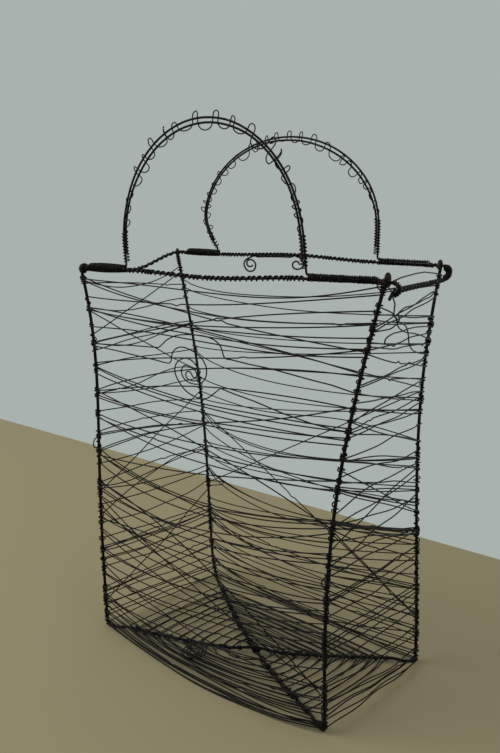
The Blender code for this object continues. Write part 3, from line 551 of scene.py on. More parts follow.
def post(name, height):
    """The centre of a post at a height, from its base corner to the foot of its eye."""
    top = eye(name)[0]
    share = height / top.z
    power = math.log(0.5) / math.log(WAIST_HEIGHT[name])
    waist = WAIST[name] * math.sin(math.pi * min(share, 1) ** power)
    middle = BASE_CORNERS[name].lerp(top, share)
    return Vector((middle.x + waist, middle.y, height))


def floor_line(name, share):
    """A floor diagonal seen from above, from a corner to the opposite one."""
    middle = BASE_CORNERS[name].lerp(BASE_CORNERS[ARMS[name]], share)
    return middle - Vector((0, ARM_BOW[name] * math.sin(math.pi * share), 0))


def crossing():
    """The shares of the left and back diagonals at which they cross, and the place."""
    shares = spaced(0.4, 0.6, 201)
    places = [(s, t, (floor_line("left", s) - floor_line("back", t)).length)
              for s in shares for t in shares]
    s, t, _ = min(places, key=lambda place: place[2])
    return s, t, floor_line("left", s)


CROSS_LEFT, CROSS_BACK, CROSS = crossing()
CROSS_SHARE = {"left": CROSS_LEFT, "right": 1 - CROSS_LEFT, "back": CROSS_BACK, "front": 1 - CROSS_BACK}


def arm(name, share):
    """A floor diagonal in space: on the floor at its corners, raised between them."""
    place = floor_line(name, share)
    height = ARM_HEIGHT
    for end in (name, ARMS[name]):
        away = (place - BASE_CORNERS[end]).length - BASE_BEND_RADIUS[end] - PAD_LENGTH
        height = min(height, PAD_HEIGHT + (ARM_HEIGHT - PAD_HEIGHT) * smooth(away / ARM_RISE_LENGTH))
    if name in ("left", "right"):
        height += OVER_CROSSING * (1 - smooth((place - CROSS).length / CROSSING_HUMP_LENGTH))
    return Vector((place.x, place.y, height))


def arm_share(name, distance):
    """A distance along a floor diagonal as a share of it."""
    return distance / (BASE_CORNERS[name] - BASE_CORNERS[ARMS[name]]).length


def base_bend(name):
    """The bend from a post on to the floor, from the post down."""
    radius = BASE_BEND_RADIUS[name]
    base = BASE_CORNERS[name]
    run = flat(floor_line(name, arm_share(name, radius)) - base)
    centre = base + run * radius + UP * (PAD_HEIGHT + radius)
    lean = post(name, PAD_HEIGHT + radius) - base - UP * (PAD_HEIGHT + radius)
    bend = arc(centre, radius, -run, -UP, 0, 90, 10)
    return [point + lean * t**2 for point, t in zip(bend, spaced(1, 0, 11))]


def half_rod(name):
    """Half of a frame rod, from the floor crossing out to its corner and up to its eye."""
    near = arm_share(name, BASE_BEND_RADIUS[name] + PAD_LENGTH)
    floor = [arm(name, share) for share in spaced(CROSS_SHARE[name], near, 24)]
    foot = PAD_HEIGHT + BASE_BEND_RADIUS[name] + 6
    upright = [post(name, z) for z in spaced(foot, eye(name)[0].z - 8, 28)]
    return [*floor, *reversed(base_bend(name)), *upright, *eye(name)]


def from_camera(point):
    """A point as the camera sees it: sideways, upwards and, below zero, ahead."""
    return CAMERA_TURN.to_matrix().transposed() @ (point - CAMERA_PLACE)


def photo_row(point):
    """The row of the photograph at which a point shows."""
    seen = from_camera(point)
    return FRAME_HEIGHT / 2 + LENS / SENSOR * FRAME_HEIGHT * seen.y / seen.z


def photo_size(point):
    """How many mm one pixel of the photograph covers at a point."""
    return -from_camera(point).z * SENSOR / LENS / FRAME_HEIGHT


def photo_place(column, row, point, facing):
    """The place that shows at a pixel of the photograph, in the plane through a point."""
    scale = SENSOR / LENS / FRAME_HEIGHT
    ray = Vector(((column - FRAME_WIDTH / 2) * scale, (FRAME_HEIGHT / 2 - row) * scale, -1))
    ray = (CAMERA_TURN.to_matrix() @ ray).normalized()
    return CAMERA_PLACE + ray * (point - CAMERA_PLACE).dot(facing) / ray.dot(facing)


class Rod:
    """Half a frame rod, measured in mm along it from the floor crossing to the top."""

    def __init__(self, name):
        self.name = name
        self.points = eased(half_rod(name), 4)
        self.marks = [0.0]
        for a, b in zip(self.points, self.points[1:]):
            self.marks.append(self.marks[-1] + (b - a).length)

    def at(self, place):
        """The centre of the rod at a place, and its direction towards the top."""
        place = min(max(place, 0.01), self.marks[-1] - 0.01)
        i = next(n for n, mark in enumerate(self.marks) if mark >= place)
        a, b = self.points[i - 1], self.points[i]
        share = (place - self.marks[i - 1]) / (self.marks[i] - self.marks[i - 1])
        return a.lerp(b, share), (b - a).normalized()

    def corner(self):
        """Where the rod leaves the floor."""
        low = [m for m, p in zip(self.marks, self.points) if p.z < ARM_HEIGHT]
        return low[-1]

    def by_row(self, row):
        """The place on the post that shows in a row of the photograph."""
        low, high = self.corner(), self.marks[-1] - 12
        for _ in range(24):
            middle = (low + high) / 2
            if photo_row(self.at(middle)[0]) > row:
                low = middle
            else:
                high = middle
        return low


RODS = {name: Rod(name) for name in BASE_CORNERS}


# Drawing wire


def straight_wire(rings, sides):
    """A straight wire, cut across into rings one unit apart."""
    work = bmesh.new()
    bmesh.ops.create_circle(work, segments=sides, radius=1)
    drawn = bmesh.ops.extrude_edge_only(work, edges=work.edges[:])["geom"]
    far = [part for part in drawn if isinstance(part, bmesh.types.BMVert)]
    bmesh.ops.translate(work, vec=(0, 0, rings - 1), verts=far)
    if rings > 2:
        lengthwise = [e for e in work.edges if e.verts[0].co.z != e.verts[1].co.z]
        bmesh.ops.subdivide_edges(work, edges=lengthwise, cuts=rings - 2, use_grid_fill=True)
    bmesh.ops.holes_fill(work, edges=[e for e in work.edges if e.is_boundary])
    bmesh.ops.recalc_face_normals(work, faces=work.faces)
    return work


def ring_frames(path):
    """A turned place for each point of a path, without twist from one to the next."""
    ahead = [(b - a).normalized() for a, b in zip(path, path[1:])]
    facing = [ahead[0], *[(a + b).normalized() for a, b in zip(ahead, ahead[1:])], ahead[-1]]
    turn = UP.rotation_difference(facing[0])
    frames = []
    for point, old, new in zip(path, [facing[0], *facing], facing):
        turn = old.rotation_difference(new) @ turn
        frames.append(Matrix.Translation(point) @ turn.to_matrix().to_4x4())
    return frames


def bent_wire(path, diameter, sides):
    """A wire of one diameter along a path, its two cut ends a little rounded and rusty."""
    lip = 0.25 * diameter
    start = path[0] + (path[1] - path[0]).normalized() * min(lip, (path[1] - path[0]).length / 2)
    end = path[-1] + (path[-2] - path[-1]).normalized() * min(lip, (path[-2] - path[-1]).length / 2)
    path = [path[0], start, *path[1:-1], end, path[-1]]
    frames = ring_frames(path)
    marks = [chance.uniform(0, 4000)]
    for a, b in zip(path, path[1:]):
        marks.append(marks[-1] + (b - a).length)
    work = straight_wire(len(path), sides)
    along = work.verts.layers.float.new("along")
    rusty = work.verts.layers.float.new("rust")
    for vert in work.verts:
        ring = round(vert.co.z)
        radius = diameter / 2 * (0.7 if ring in (0, len(path) - 1) else 1)
        vert[along] = marks[ring]
        from_end = min(marks[ring] - marks[0], marks[-1] - marks[ring])
        vert[rusty] = 0.5 * max(0, 1 - from_end / (4 * diameter))
        vert.co = frames[ring] @ Vector((vert.co.x * radius, vert.co.y * radius, 0))
    return work


def piece(name, wires, finish, body, nodes, ground=False):
    """One named piece made of bent wires, riding on its body in place of its plain solids."""
    mesh = bpy.data.meshes.new(name)
    whole = bmesh.new()
    for work in wires:
        work.to_mesh(mesh)
        work.free()
        whole.from_mesh(mesh)
    bmesh.ops.scale(whole, vec=(MM, MM, MM), verts=whole.verts)
    if ground:
        cut = bmesh.ops.bisect_plane(whole, geom=whole.verts[:] + whole.edges[:] + whole.faces[:],
                                     plane_co=(0, 0, 0), plane_no=(0, 0, -1), clear_outer=True)
        rims = [part for part in cut["geom_cut"] if isinstance(part, bmesh.types.BMEdge)]
        bmesh.ops.holes_fill(whole, edges=rims)
    for face in whole.faces:
        face.smooth = True
    whole.to_mesh(mesh)
    whole.free()
    mesh.materials.append(finish)
    made = bpy.data.objects.new(name, mesh)
    bpy.context.scene.collection.objects.link(made)
    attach(made, body)
    if nodes:
        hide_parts(*nodes)
    return made


def wound(centre_line, reach, turns, uneven):
    """A winding round a path: centre_line(share) gives a point and two directions square to the path."""
    points = []
    count = turns * TURN_STEPS
    slack = [1 + chance.uniform(-uneven, uneven) for _ in range(turns + 2)]
    for i in range(count + 1):
        share = i / count
        turn = 2 * math.pi * turns * share
        whole, part = divmod(turns * share, 1)
        loose = slack[int(whole)] * (1 - part) + slack[int(whole) + 1] * part
        centre, first, second = centre_line(share)
        points.append(centre + reach(share) * loose * (first * math.cos(turn) + second * math.sin(turn)))
    return points


# Finishes


def new_group(name, inputs, outputs):
    """An empty node group with named inputs and outputs."""
    group = bpy.data.node_groups.new(name, "ShaderNodeTree")
    for label, kind, value in inputs:
        socket = group.interface.new_socket(label, in_out="INPUT", socket_type=kind)
        if value is not None:
            socket.default_value = value
    for label, kind in outputs:
        group.interface.new_socket(label, in_out="OUTPUT", socket_type=kind)
    return group


def add(tree, kind, **settings):
    """A node with its settings, and with the values or links of its numbered or named sockets."""
    node = tree.nodes.new(kind)
    sockets = settings.pop("sockets", {})
    for key, value in settings.items():
        setattr(node, key, value)
    for key, value in sockets.items():
        socket = node.inputs[key]
        if isinstance(value, bpy.types.NodeSocket):
            tree.links.new(value, socket)
        else:
            socket.default_value = value
    return node


def iron_skin():
    """Annealed iron: a blue-black scale, rubbed brighter here and there, with brown rust in patches."""
    group = new_group("iron_skin", (
        ("Place", "NodeSocketVector", None), ("Along", "NodeSocketFloat", 0.0),
        ("Rust", "NodeSocketFloat", 0.0), ("Scale Colour", "NodeSocketColor", (0.02, 0.02, 0.02, 1)),
        ("Rubbed Colour", "NodeSocketColor", (0.06, 0.058, 0.055, 1)),
        ("Rust Colour", "NodeSocketColor", (0.12, 0.05, 0.02, 1)),
        ("Rust Amount", "NodeSocketFloat", 0.3), ("Patch Length", "NodeSocketFloat", 30.0),
    ), (("Colour", "NodeSocketColor"), ("Roughness", "NodeSocketFloat"),
        ("Metallic", "NodeSocketFloat"), ("Height", "NodeSocketFloat")))
    given = group.nodes.new("NodeGroupInput").outputs
    result = group.nodes.new("NodeGroupOutput")

    def maths(operation, *values):
        return add(group, "ShaderNodeMath", operation=operation,
                   sockets=dict(enumerate(values))).outputs[0]

    def noise(scale, detail):
        return add(group, "ShaderNodeTexNoise", sockets={
            "Vector": given["Place"], "Scale": scale, "Detail": detail, "Roughness": 0.6}).outputs["Fac"]

    def ramp(value, low, high, kind="LINEAR"):
        return add(group, "ShaderNodeMapRange", interpolation_type=kind, sockets={
            "Value": value, "From Min": low, "From Max": high}).outputs["Result"]

    def mix(share, first, second, kind="MIX"):
        return add(group, "ShaderNodeMix", data_type="RGBA", blend_type=kind, sockets={
            0: share, 6: first, 7: second}).outputs[2]

    share = maths("DIVIDE", given["Along"], given["Patch Length"])
    patch = add(group, "ShaderNodeTexNoise", noise_dimensions="1D",
                sockets={"W": share, "Scale": 1.0, "Detail": 3.0, "Roughness": 0.6}).outputs["Fac"]
    blotch = noise(260.0, 3.0)
    grain = noise(1900.0, 3.0)
    fine = noise(5200.0, 2.0)

    # Rust lies where the patches along the wire and the blotches meet, and breaks up into specks
    mixed = maths("ADD", maths("MULTIPLY", patch, 0.62), maths("MULTIPLY", blotch, 0.38))
    pushed = maths("ADD", mixed, maths("MULTIPLY", given["Rust"], 0.3))
    level = maths("SUBTRACT", 0.72, maths("MULTIPLY", given["Rust Amount"], 0.32))
    patches = ramp(pushed, maths("SUBTRACT", level, 0.06), maths("ADD", level, 0.09), "SMOOTHSTEP")
    specks = ramp(grain, 0.42, 0.62)
    mask = maths("MULTIPLY", patches, maths("ADD", maths("MULTIPLY", specks, 0.55), 0.45))

    worn = maths("ADD", maths("MULTIPLY", blotch, 0.5), maths("MULTIPLY", fine, 0.5))
    scaled = mix(ramp(worn, 0.5, 0.68), given["Scale Colour"], given["Rubbed Colour"])
    mottle = mix(fine, (0.35, 0.28, 0.24, 1), (1.25, 1.15, 1.0, 1))
    colour = mix(mask, scaled, mix(1.0, given["Rust Colour"], mottle, "MULTIPLY"))
    rough = maths("ADD", maths("MULTIPLY", mask, 0.38),
                  maths("ADD", 0.38, maths("MULTIPLY", grain, 0.22)))
    height = maths("ADD", maths("MULTIPLY", grain, maths("ADD", 0.4, maths("MULTIPLY", mask, 1.2))),
                   maths("MULTIPLY", fine, 0.25))
    metal = maths("SUBTRACT", 0.85, maths("MULTIPLY", mask, 0.75))
    for label, socket in (("Colour", colour), ("Roughness", rough), ("Metallic", metal), ("Height", height)):
        group.links.new(socket, result.inputs[label])
    return group


IRON_SKIN = iron_skin()


def iron(name, scale, rubbed, rust, amount, patch, bump):
    """A wire finish of its own colours, rust and patch length."""
    made = bpy.data.materials.new(name)
    made.use_nodes = True
    tree = made.node_tree
    shader = tree.nodes["Principled BSDF"]
    shader.inputs["Specular IOR Level"].default_value = 0.45
    skin = add(tree, "ShaderNodeGroup", node_tree=IRON_SKIN, sockets={
        "Place": add(tree, "ShaderNodeTexCoord").outputs["Object"],
        "Along": add(tree, "ShaderNodeAttribute", attribute_name="along").outputs["Fac"],
        "Rust": add(tree, "ShaderNodeAttribute", attribute_name="rust").outputs["Fac"],
        "Scale Colour": (*scale, 1), "Rubbed Colour": (*rubbed, 1), "Rust Colour": (*rust, 1),
        "Rust Amount": amount, "Patch Length": patch})
    raised = add(tree, "ShaderNodeBump", sockets={
        "Strength": bump, "Distance": SKIN_RELIEF, "Height": skin.outputs["Height"]})
    for socket, label in ((skin.outputs["Colour"], "Base Color"), (skin.outputs["Roughness"], "Roughness"),
                          (skin.outputs["Metallic"], "Metallic"), (raised.outputs["Normal"], "Normal")):
        tree.links.new(socket, shader.inputs[label])
    return made


# The colours of the scale, of where it is rubbed and of the rust, how much rust there is, how many
# mm its patches are long, and how rough the skin feels
FRAME_IRON = iron(
    "frame_iron", (0.007, 0.007, 0.007), (0.026, 0.025, 0.023), (0.060, 0.026, 0.012), 0.25, 42.0, 0.8)
RUSTY_IRON = iron(
    "rusty_iron", (0.008, 0.0075, 0.007), (0.028, 0.025, 0.022), (0.070, 0.030, 0.013), 0.36, 30.0, 1.0)
BINDING_WIRE = iron(
    "binding_wire_iron", (0.008, 0.0078, 0.0075), (0.028, 0.026, 0.024), (0.056, 0.025, 0.012),
    0.38, 22.0, 0.7)
WEAVE_WIRE = iron(
    "weave_wire_iron", (0.008, 0.0078, 0.0075), (0.026, 0.025, 0.023), (0.050, 0.024, 0.012),
    0.36, 34.0, 0.6)
SCROLL_WIRE = iron(
    "scroll_wire_iron", (0.014, 0.0135, 0.013), (0.05, 0.047, 0.043), (0.07, 0.031, 0.015),
    0.22, 26.0, 0.6)


# Frame


def make_frame():
    piece("rim_rod_wire", [bent_wire(eased(rim_path(), 5), RIM_DIAMETER, ROD_SIDES)], FRAME_IRON, "bag",
          ["rim_rod"])
    for first, second, node, finish, slot in (
            ("left", "right", "frame_rod_left_right", FRAME_IRON, "frame_rod"),
            ("back", "front", "frame_rod_back_front", RUSTY_IRON, "rusty_rod")):
        path = [*reversed(half_rod(first)), *half_rod(second)[1:]]
        piece("post_" + node, [bent_wire(eased(path, 6), POST_DIAMETER, POST_SIDES)], finish, "bag",
              [node], ground=True)


def rim_windings(name):
    """Thin wire wound along one side of the rim: between its handle's feet, and from them outwards."""
    first, last = RIM_WINDING_INSET[name]
    last = rim_length(name) - last
    ends = ((first, last),)
    if name in HANDLES:
        pins, feet = HANDLES[name]["pins"], HANDLES[name]["feet"]
        ends = ((first, pins[0]), (feet[0] + LEG_ROOM, feet[1] - LEG_ROOM), (pins[1], last))
    room = RIM_RADIUS + RIM_ROPE_DIAMETER[name] / 2 - ROPE_BITE
    near_foot, middle = RIM_WINDING_PITCH[name]
    windings = []
    for start, end in ends:
        points = []
        s, turn = start, chance.uniform(0, 6)
        while s < end:
            along = rim_tangent(name, s)
            side = level_side(along)
            out = side * math.cos(turn) + side.cross(along) * math.sin(turn)
            points.append(RIM_SIDES[name](s) + out * (room + chance.uniform(*RIM_WINDING_STRAY)))
            if len(points) % TURN_STEPS == 1:
                uneven = chance.uniform(*RIM_WINDING_UNEVEN)
            share = (s - start) / (end - start)
            pitch = near_foot + (middle - near_foot) * smooth(4 * share) * smooth(4 - 4 * share)
            s += uneven * pitch / TURN_STEPS
            turn += 2 * math.pi / TURN_STEPS
        windings.append(points)
    return windings


def bend_winding(centre, radius, away, start, end, turns, reach):
    """A rope wire's turns along a bend of the rim that stands upright."""
    side = away.cross(UP)

    def along_bend(share):
        bend = math.radians(start + (end - start) * share)
        out = away * math.cos(bend) + UP * math.sin(bend)
        return centre + out * radius, out, side

    return wound(along_bend, lambda share: reach, turns, 0.08)


def knob(centre, length, radius, turns):
    """A wire wound upwards into a ball over a joint."""
    first = UP.orthogonal().normalized()
    second = UP.cross(first).normalized()

    def upwards(share):
        return centre + UP * (share - 0.5) * length, first, second

    return wound(upwards, lambda share: radius * math.sin(math.pi * (0.15 + 0.7 * share)), turns, 0.06)


def post_top_winding(name, length, turns):
    """Turns of wire round the top of a post, just under its curl."""
    rod = RODS[name]
    top = rod.marks[-1] - TOP_WINDING_DROP

    def along_post(share):
        centre, along = rod.at(top - length * share)
        first = along.orthogonal().normalized()
        return centre, first, along.cross(first)

    return wound(along_post, lambda share: POST_RADIUS + ROPE_DIAMETER / 2, turns, 0.08)


def make_rim_windings():
    ahead = rim_tangent("front", rim_length("front"))
    hook, bend = (RIM_CORNERS[name] - UP * radius
                  for name, radius in (("front", HOOK_RADIUS), ("right", RIM_U_RADIUS)))
    tight = RIM_RADIUS + ROPE_DIAMETER / 2 - ROPE_BITE
    more = {
        "front": [bend_winding(hook, HOOK_RADIUS, ahead, 95, -95, HOOK_TURNS, tight)],
        "right": [bend_winding(bend, RIM_U_RADIUS - U_WINDING_INSET, u_facing(), 90, -90, U_TURNS,
                               tight + U_WINDING_SWELL)],
        "left": [knob(RIM_CORNERS["left"] + Vector(LEFT_KNOB_PLACE), *LEFT_KNOB)],
        "back": [knob(eye_seat("back")[0], *BACK_KNOB),
                 post_top_winding("back", TOP_WINDING_LENGTH, TOP_WINDING_TURNS)],
    }
    for name in RIM_SIDES:
        wires = [bent_wire(path, RIM_ROPE_DIAMETER[name], ROPE_SIDES) for path in rim_windings(name)]
        wires += [bent_wire(path, ROPE_DIAMETER, ROPE_SIDES) for path in more[name]]
        piece("rim_winding_" + name, wires, BINDING_WIRE, "bag", ["rim_wrap_" + name])


def make_lashing():
    """The wire wound round both diagonals where they cross."""
    one = flat(floor_line("left", CROSS_LEFT + 0.02) - CROSS)
    two = flat(floor_line("back", CROSS_BACK + 0.02) - CROSS)
    middle = Vector((CROSS.x, CROSS.y, ARM_HEIGHT + OVER_CROSSING / 2))
    room = POST_RADIUS + BINDING_DIAMETER / 2
    high = OVER_CROSSING / 2 + room + LASHING_ROOM
    wires = []
    for along, turns in zip(((one + two).normalized(), (one - two).normalized()), LASHING_TURNS):
        side = UP.cross(along)
        half = max(0.2, min(along.angle(one), math.pi - along.angle(one)))
        wide = room / math.cos(half) + 2 * LASHING_ROOM
        points = []
        steps = TURN_STEPS * turns
        for i in range(steps + 1):
            centre = middle + along * (i / steps - 0.5) * turns * LASHING_PITCH
            turn = 2 * math.pi * (i / TURN_STEPS + 0.5 / TURN_STEPS)
            points.append(centre + side * wide * math.cos(turn) + UP * high * math.sin(turn))
        wires.append(bent_wire(points, BINDING_DIAMETER, THIN_SIDES))
    piece("crossing_lashing", wires, BINDING_WIRE, "bag", ["floor_crossing_lashing"])


# Handles


class Handle:
    """A double-rod handle, laid out along its rim and up from its hinge line."""

    def __init__(self, side):
        sizes = HANDLES[side]
        self.side = side
        self.feet, self.pins = sizes["feet"], sizes["pins"]
        self.middle, self.half_width = sizes["middle"], sizes["half_width"]
        self.leg, self.height = sizes["leg"], sizes["height"]
        self.along = rim_tangent(side, 20)
        self.across = level_side(self.along)
        self.up = self.across.cross(self.along).normalized()
        if self.up.z < 0:
            self.up = -self.up
        self.corner = RIM_SIDES[side](0) + self.up * PIN_LIFT

    def at(self, s, height, depth=0.0):
        """A place along the rim, above the hinge line and out from the handle's plane."""
        return self.corner + self.along * s + self.up * height + self.across * depth

    def centre(self, t):
        """The middle of the two rods: t runs from the left foot over the top to the right one."""
        rise = min(t, 1 - t) / LEG_SHARE
        turn = math.pi * min(max((t - LEG_SHARE) / (1 - 2 * LEG_SHARE), 0), 1)
        reach = -self.half_width * math.cos(turn)
        height = self.leg * min(rise, 1) + (self.height - self.leg) * math.sin(turn)
        foot = self.feet[0] if t < 0.5 else self.feet[1]
        shoulder = self.middle + self.half_width * (-1 if t < 0.5 else 1)
        tuck = (foot - shoulder) * max(1 - height / FOOT_TUCK_HEIGHT, 0) ** 2
        return self.middle + reach + tuck, height

    def normal(self, t):
        """The direction out of the arch, as a share along the rim and a share upwards."""
        before, after = self.centre(max(t - 0.01, 0)), self.centre(min(t + 0.01, 1))
        run, rise = after[0] - before[0], after[1] - before[1]
        length = math.hypot(run, rise)
        return -rise / length, run / length

    def spread(self, t):
        """How far apart the two rods are."""
        knots = ROD_SPREADS[self.side]
        for (before, near), (after, far) in zip(knots, knots[1:]):
            if t <= after:
                return near + (far - near) * smooth((t - before) / (after - before))
        return knots[-1][1]

    def beside(self, t, offset, depth=0.0):
        """A place out from the middle of the two rods, in the handle's plane and square to it."""
        s, height = self.centre(t)
        sideways, upwards = self.normal(t)
        return self.at(s + sideways * offset, height + upwards * offset, depth)

    def outer_rod(self):
        """From the end of one foot along the rim, up over the arch and along the other foot."""
        arch = [self.beside(t, self.spread(t) / 2)
                for t in spaced(OUTER_ROD_START, 1 - OUTER_ROD_START, 49)]
        reach = self.spread(0) / 2
        left, right = self.feet[0] - reach, self.feet[1] + reach
        left_bend = filleted(self.at(left - FOOT_RUN, 0), self.at(left, 0), arch[0], FOOT_BEND_RADIUS)
        right_bend = filleted(arch[-1], self.at(right, 0), self.at(right + FOOT_RUN, 0), FOOT_BEND_RADIUS)
        return [self.at(self.pins[0], 0), *left_bend, *arch, *right_bend, self.at(self.pins[1], 0)]

    def lifted(self, height):
        """The value of t at which the left leg's centre has reached a height."""
        return min(spaced(0, 0.3, 601), key=lambda t: abs(self.centre(t)[1] - height))

    def inner_rod(self):
        """Inside the arch, from just above one foot to just above the other."""
        start = self.lifted(INNER_ROD_LIFT)
        return [self.beside(t, -self.spread(t) / 2) for t in spaced(start, 1 - start, 47)]

    def traced(self, column, row):
        """Where a place in the photograph lies on the handle: the share along it and how far out."""
        place = photo_place(column, row, self.corner, self.across) - self.corner
        s, height = place.dot(self.along), place.dot(self.up)

        def away(t):
            return math.dist(self.centre(t), (s, height))

        t = min(spaced(0, 1, 401), key=away)
        t = min(spaced(max(t - 0.0025, 0), min(t + 0.0025, 1), 21), key=away)
        middle, level = self.centre(t)
        sideways, upwards = self.normal(t)
        return t, (s - middle) * sideways + (height - level) * upwards

    def leg_turns(self, low, high):
        """Tight turns up a leg: a little outside the rods, a little inside, and so on."""
        count = 2 * round((high - low) / LEG_TURN)
        tight = (self.spread(0) + HANDLE_DIAMETER + COIL_DIAMETER) / 2
        turns = []
        for i in range(count):
            t = self.lifted(low + (high - low) * i / count)
            turns.append((t, (tight + chance.uniform(0, LEG_TURN_SLACK)) * (-1 if i % 2 else 1)))
        return turns

    def coil(self):
        """Loose uneven loops round both rods, tight low on the legs and standing out above."""
        loops = [self.traced(*place) for place in HANDLE_LOOPS[self.side]]
        left_top, right_top = (self.centre(loops[n][0])[1] - LEG_TOP_ROOM for n in (0, -1))
        right_leg = [(1 - t, reach) for t, reach in self.leg_turns(COIL_LIFT, right_top)]
        turns = [*self.leg_turns(COIL_LIFT, left_top), *loops, *reversed(right_leg)]
        points = []
        room = (HANDLE_DIAMETER + COIL_DIAMETER) / 2 + COIL_ROOM
        side = 1
        for (t, reach), (next_t, next_reach) in zip(turns, turns[1:]):
            deep = room + LOOSE_LOOP_DEPTH * max(0, (abs(reach) + abs(next_reach)) / 2 - LOOSE_LOOP_REACH)
            bulge = min(LOOP_BULGE * (next_t - t), MOST_LOOP_BULGE)
            for step in range(LOOP_STEPS):
                turn = math.pi * step / LOOP_STEPS
                place = t + (next_t - t) * step / LOOP_STEPS + bulge * math.sin(2 * turn)
                out = reach + (next_reach - reach) * (1 - math.cos(turn)) / 2
                points.append(self.beside(place, out, side * deep * math.sin(turn)))
            side = -side
        for point in points:
            point.z = min(point.z, COIL_TOP)
        return points

    def binding(self, left):
        """The winding that holds one foot down on the rim, thickest half-way."""
        half, outer = (0, -1) if left else (1, 1)
        start = self.pins[half] + outer * BINDING_TAPER
        end = self.feet[half] + outer * BINDING_FOOT_ROOM
        turns = round(abs(end - start) / BINDING_PITCH[self.side][half])
        room = RIM_RADIUS + BINDING_DIAMETER / 2 + BINDING_ROOM
        points = []
        for i in range(TURN_STEPS * turns + 1):
            if i % TURN_STEPS == 0:
                uneven = chance.uniform(*BINDING_UNEVEN)
            share = i / (TURN_STEPS * turns)
            turn = 2 * math.pi * i / TURN_STEPS
            fat = math.sin(math.pi * (0.08 + 0.92 * share))
            stray = uneven * (LEFT_BINDING_EVENNESS if left else 1)
            radius = room + BINDING_SWELL[self.side][half] * fat + stray
            lift = PIN_LIFT * smooth(share * abs(end - start) / BINDING_TAPER)
            height = radius * math.sin(turn)
            if abs(math.sin(turn)) < 0.1:
                height = lift / 2
            elif math.sin(turn) > 0:
                height += lift
            place = start + (end - start) * share
            points.append(self.at(place, height - PIN_LIFT, radius * math.cos(turn)))
        return points


def make_handle(side):
    handle = Handle(side)
    body = side + "_handle"
    for rod, path in (("outer", handle.outer_rod()), ("inner", handle.inner_rod())):
        piece(f"{side}_handle_{rod}_wire", [bent_wire(eased(path, 5), HANDLE_DIAMETER, ROD_SIDES)],
              FRAME_IRON, body, [f"{side}_handle_{rod}_rod"])
    piece(f"{side}_handle_loops", [bent_wire(eased(handle.coil(), 2), COIL_DIAMETER, THIN_SIDES)],
          BINDING_WIRE, body, [f"{side}_handle_coil"])
    for end in ("left", "right"):
        wire = bent_wire(handle.binding(end == "left"), BINDING_DIAMETER, THIN_SIDES)
        piece(f"{side}_foot_winding_{end}", [wire], BINDING_WIRE, "bag",
              [f"foot_binding_{side}_{end}"])


# Weave


def square_to(along, direction):
    """The part of a direction that is square to a line."""
    return (direction - along * direction.dot(along)).normalized()


def turns_round(rod, start, end, towards, outside, from_outside, whole, reach):
    """The wire round a rod from one place to another: half a turn past its far side and whole turns."""
    first, last = (0, 180 + 360 * whole) if from_outside else (180, -360 * whole)
    steps = max(4, round(abs(last - first) / LACING_STEP_DEGREES))
    loose = LOOSEST_TURN * chance.random() ** 4
    points = []
    for i in range(steps + 1):
        share = i / steps
        centre, along = rod.at(start + (end - start) * smooth(share))
        out = square_to(along, outside)
        away = along.cross(out)
        if away.dot(towards) > 0:
            away = -away
        angle = math.radians(first + (last - first) * share)
        room = reach + loose * math.sin(math.pi * share)
        points.append(centre + room * (out * math.cos(angle) + away * math.sin(angle)))
    return points


def fullness(share, skew, late=2):
    """How much of its bow or dip a strand has at a share of its length: a skew over 1 puts it later."""
    skewed = 2 * share ** skew - 1
    return 1 - abs(skewed) ** (2 if skewed < 0 else late)


def free_run(start, end, bow, skew, dip, lean, sway, waver, kink, backwards):
    """The wire between two rods: bowed out, dipped, and never quite straight."""
    length = (end - start).length
    steps = max(5, round(length / STRAND_STEP))
    side = bow.normalized()
    phases = [chance.uniform(0, 2 * math.pi) for _ in range(4)]
    sizes = [chance.uniform(0.3, 1) for _ in range(4)]
    points = []
    for i in range(1, steps):
        t = i / steps
        swell = 4 * t * (1 - t)
        ripple = [sizes[k] * math.sin((1.3 + 1.1 * k) * math.pi * t + phases[k]) for k in range(4)]
        share = 1 - t if backwards else t
        drop = dip * fullness(share, lean) + sway * math.sin(2 * math.pi * t)
        drop += waver * swell * (ripple[0] + 0.5 * ripple[1])
        out = bow.length * fullness(share, skew, 3) + waver * swell * (ripple[2] + 0.5 * ripple[3])
        points.append(start.lerp(end, t) + side * out - UP * drop)
    if kink and steps > 7:
        at = chance.randint(3, steps - 4)
        knee = points[at].lerp(points[at + 1], 0.5) + UP * kink
        points.insert(at + 1, knee)
    return points


def laced(first, second, runs, reach, hang, whole_turns, waver, lean=1.0):
    """One wire laced to and fro between two rods: outside them one way and inside them back."""
    points = []
    for n, run in enumerate(runs):
        place, far_place, dip, sway = (*run, 0.0)[:4]
        near, far = first, second
        if n % 2:
            near, far, place, far_place, sway = second, first, far_place, place, -sway
        (start, near_along), (end, far_along) = near.at(place), far.at(far_place)
        across = (end - start).normalized()
        outside = near_along.cross(across)
        if outside.dot(start.lerp(end, 0.5) - BAG_MIDDLE) < 0:
            outside = -outside
        over = reach if n % 2 == 0 else -reach
        leaving = start + square_to(near_along, outside) * over
        landing = end + square_to(far_along, outside) * over
        if n == 0:
            points += turns_round(near, place + TIE_CLIMB, place, across, outside, False, 1, reach)
        bow, dip, skew = hang(start.lerp(end, 0.5), across, outside, dip)
        kink = chance.uniform(*KINK_SIZES) * chance.choice((-1, 1)) if chance.random() < KINK_CHANCE else 0
        points += free_run(leaving, landing, bow, skew, dip, lean, sway, waver, kink, n % 2 == 1)
        if n < len(runs) - 1:
            following = runs[n + 1][1 if n % 2 == 0 else 0]
        else:
            following = far_place - TIE_CLIMB
        points += turns_round(far, far_place, following, -across, outside, n % 2 == 0,
                              whole_turns(abs(following - far_place)), reach)
    for point in points:
        point.z = max(point.z, LEAST_HEIGHT)
    return points


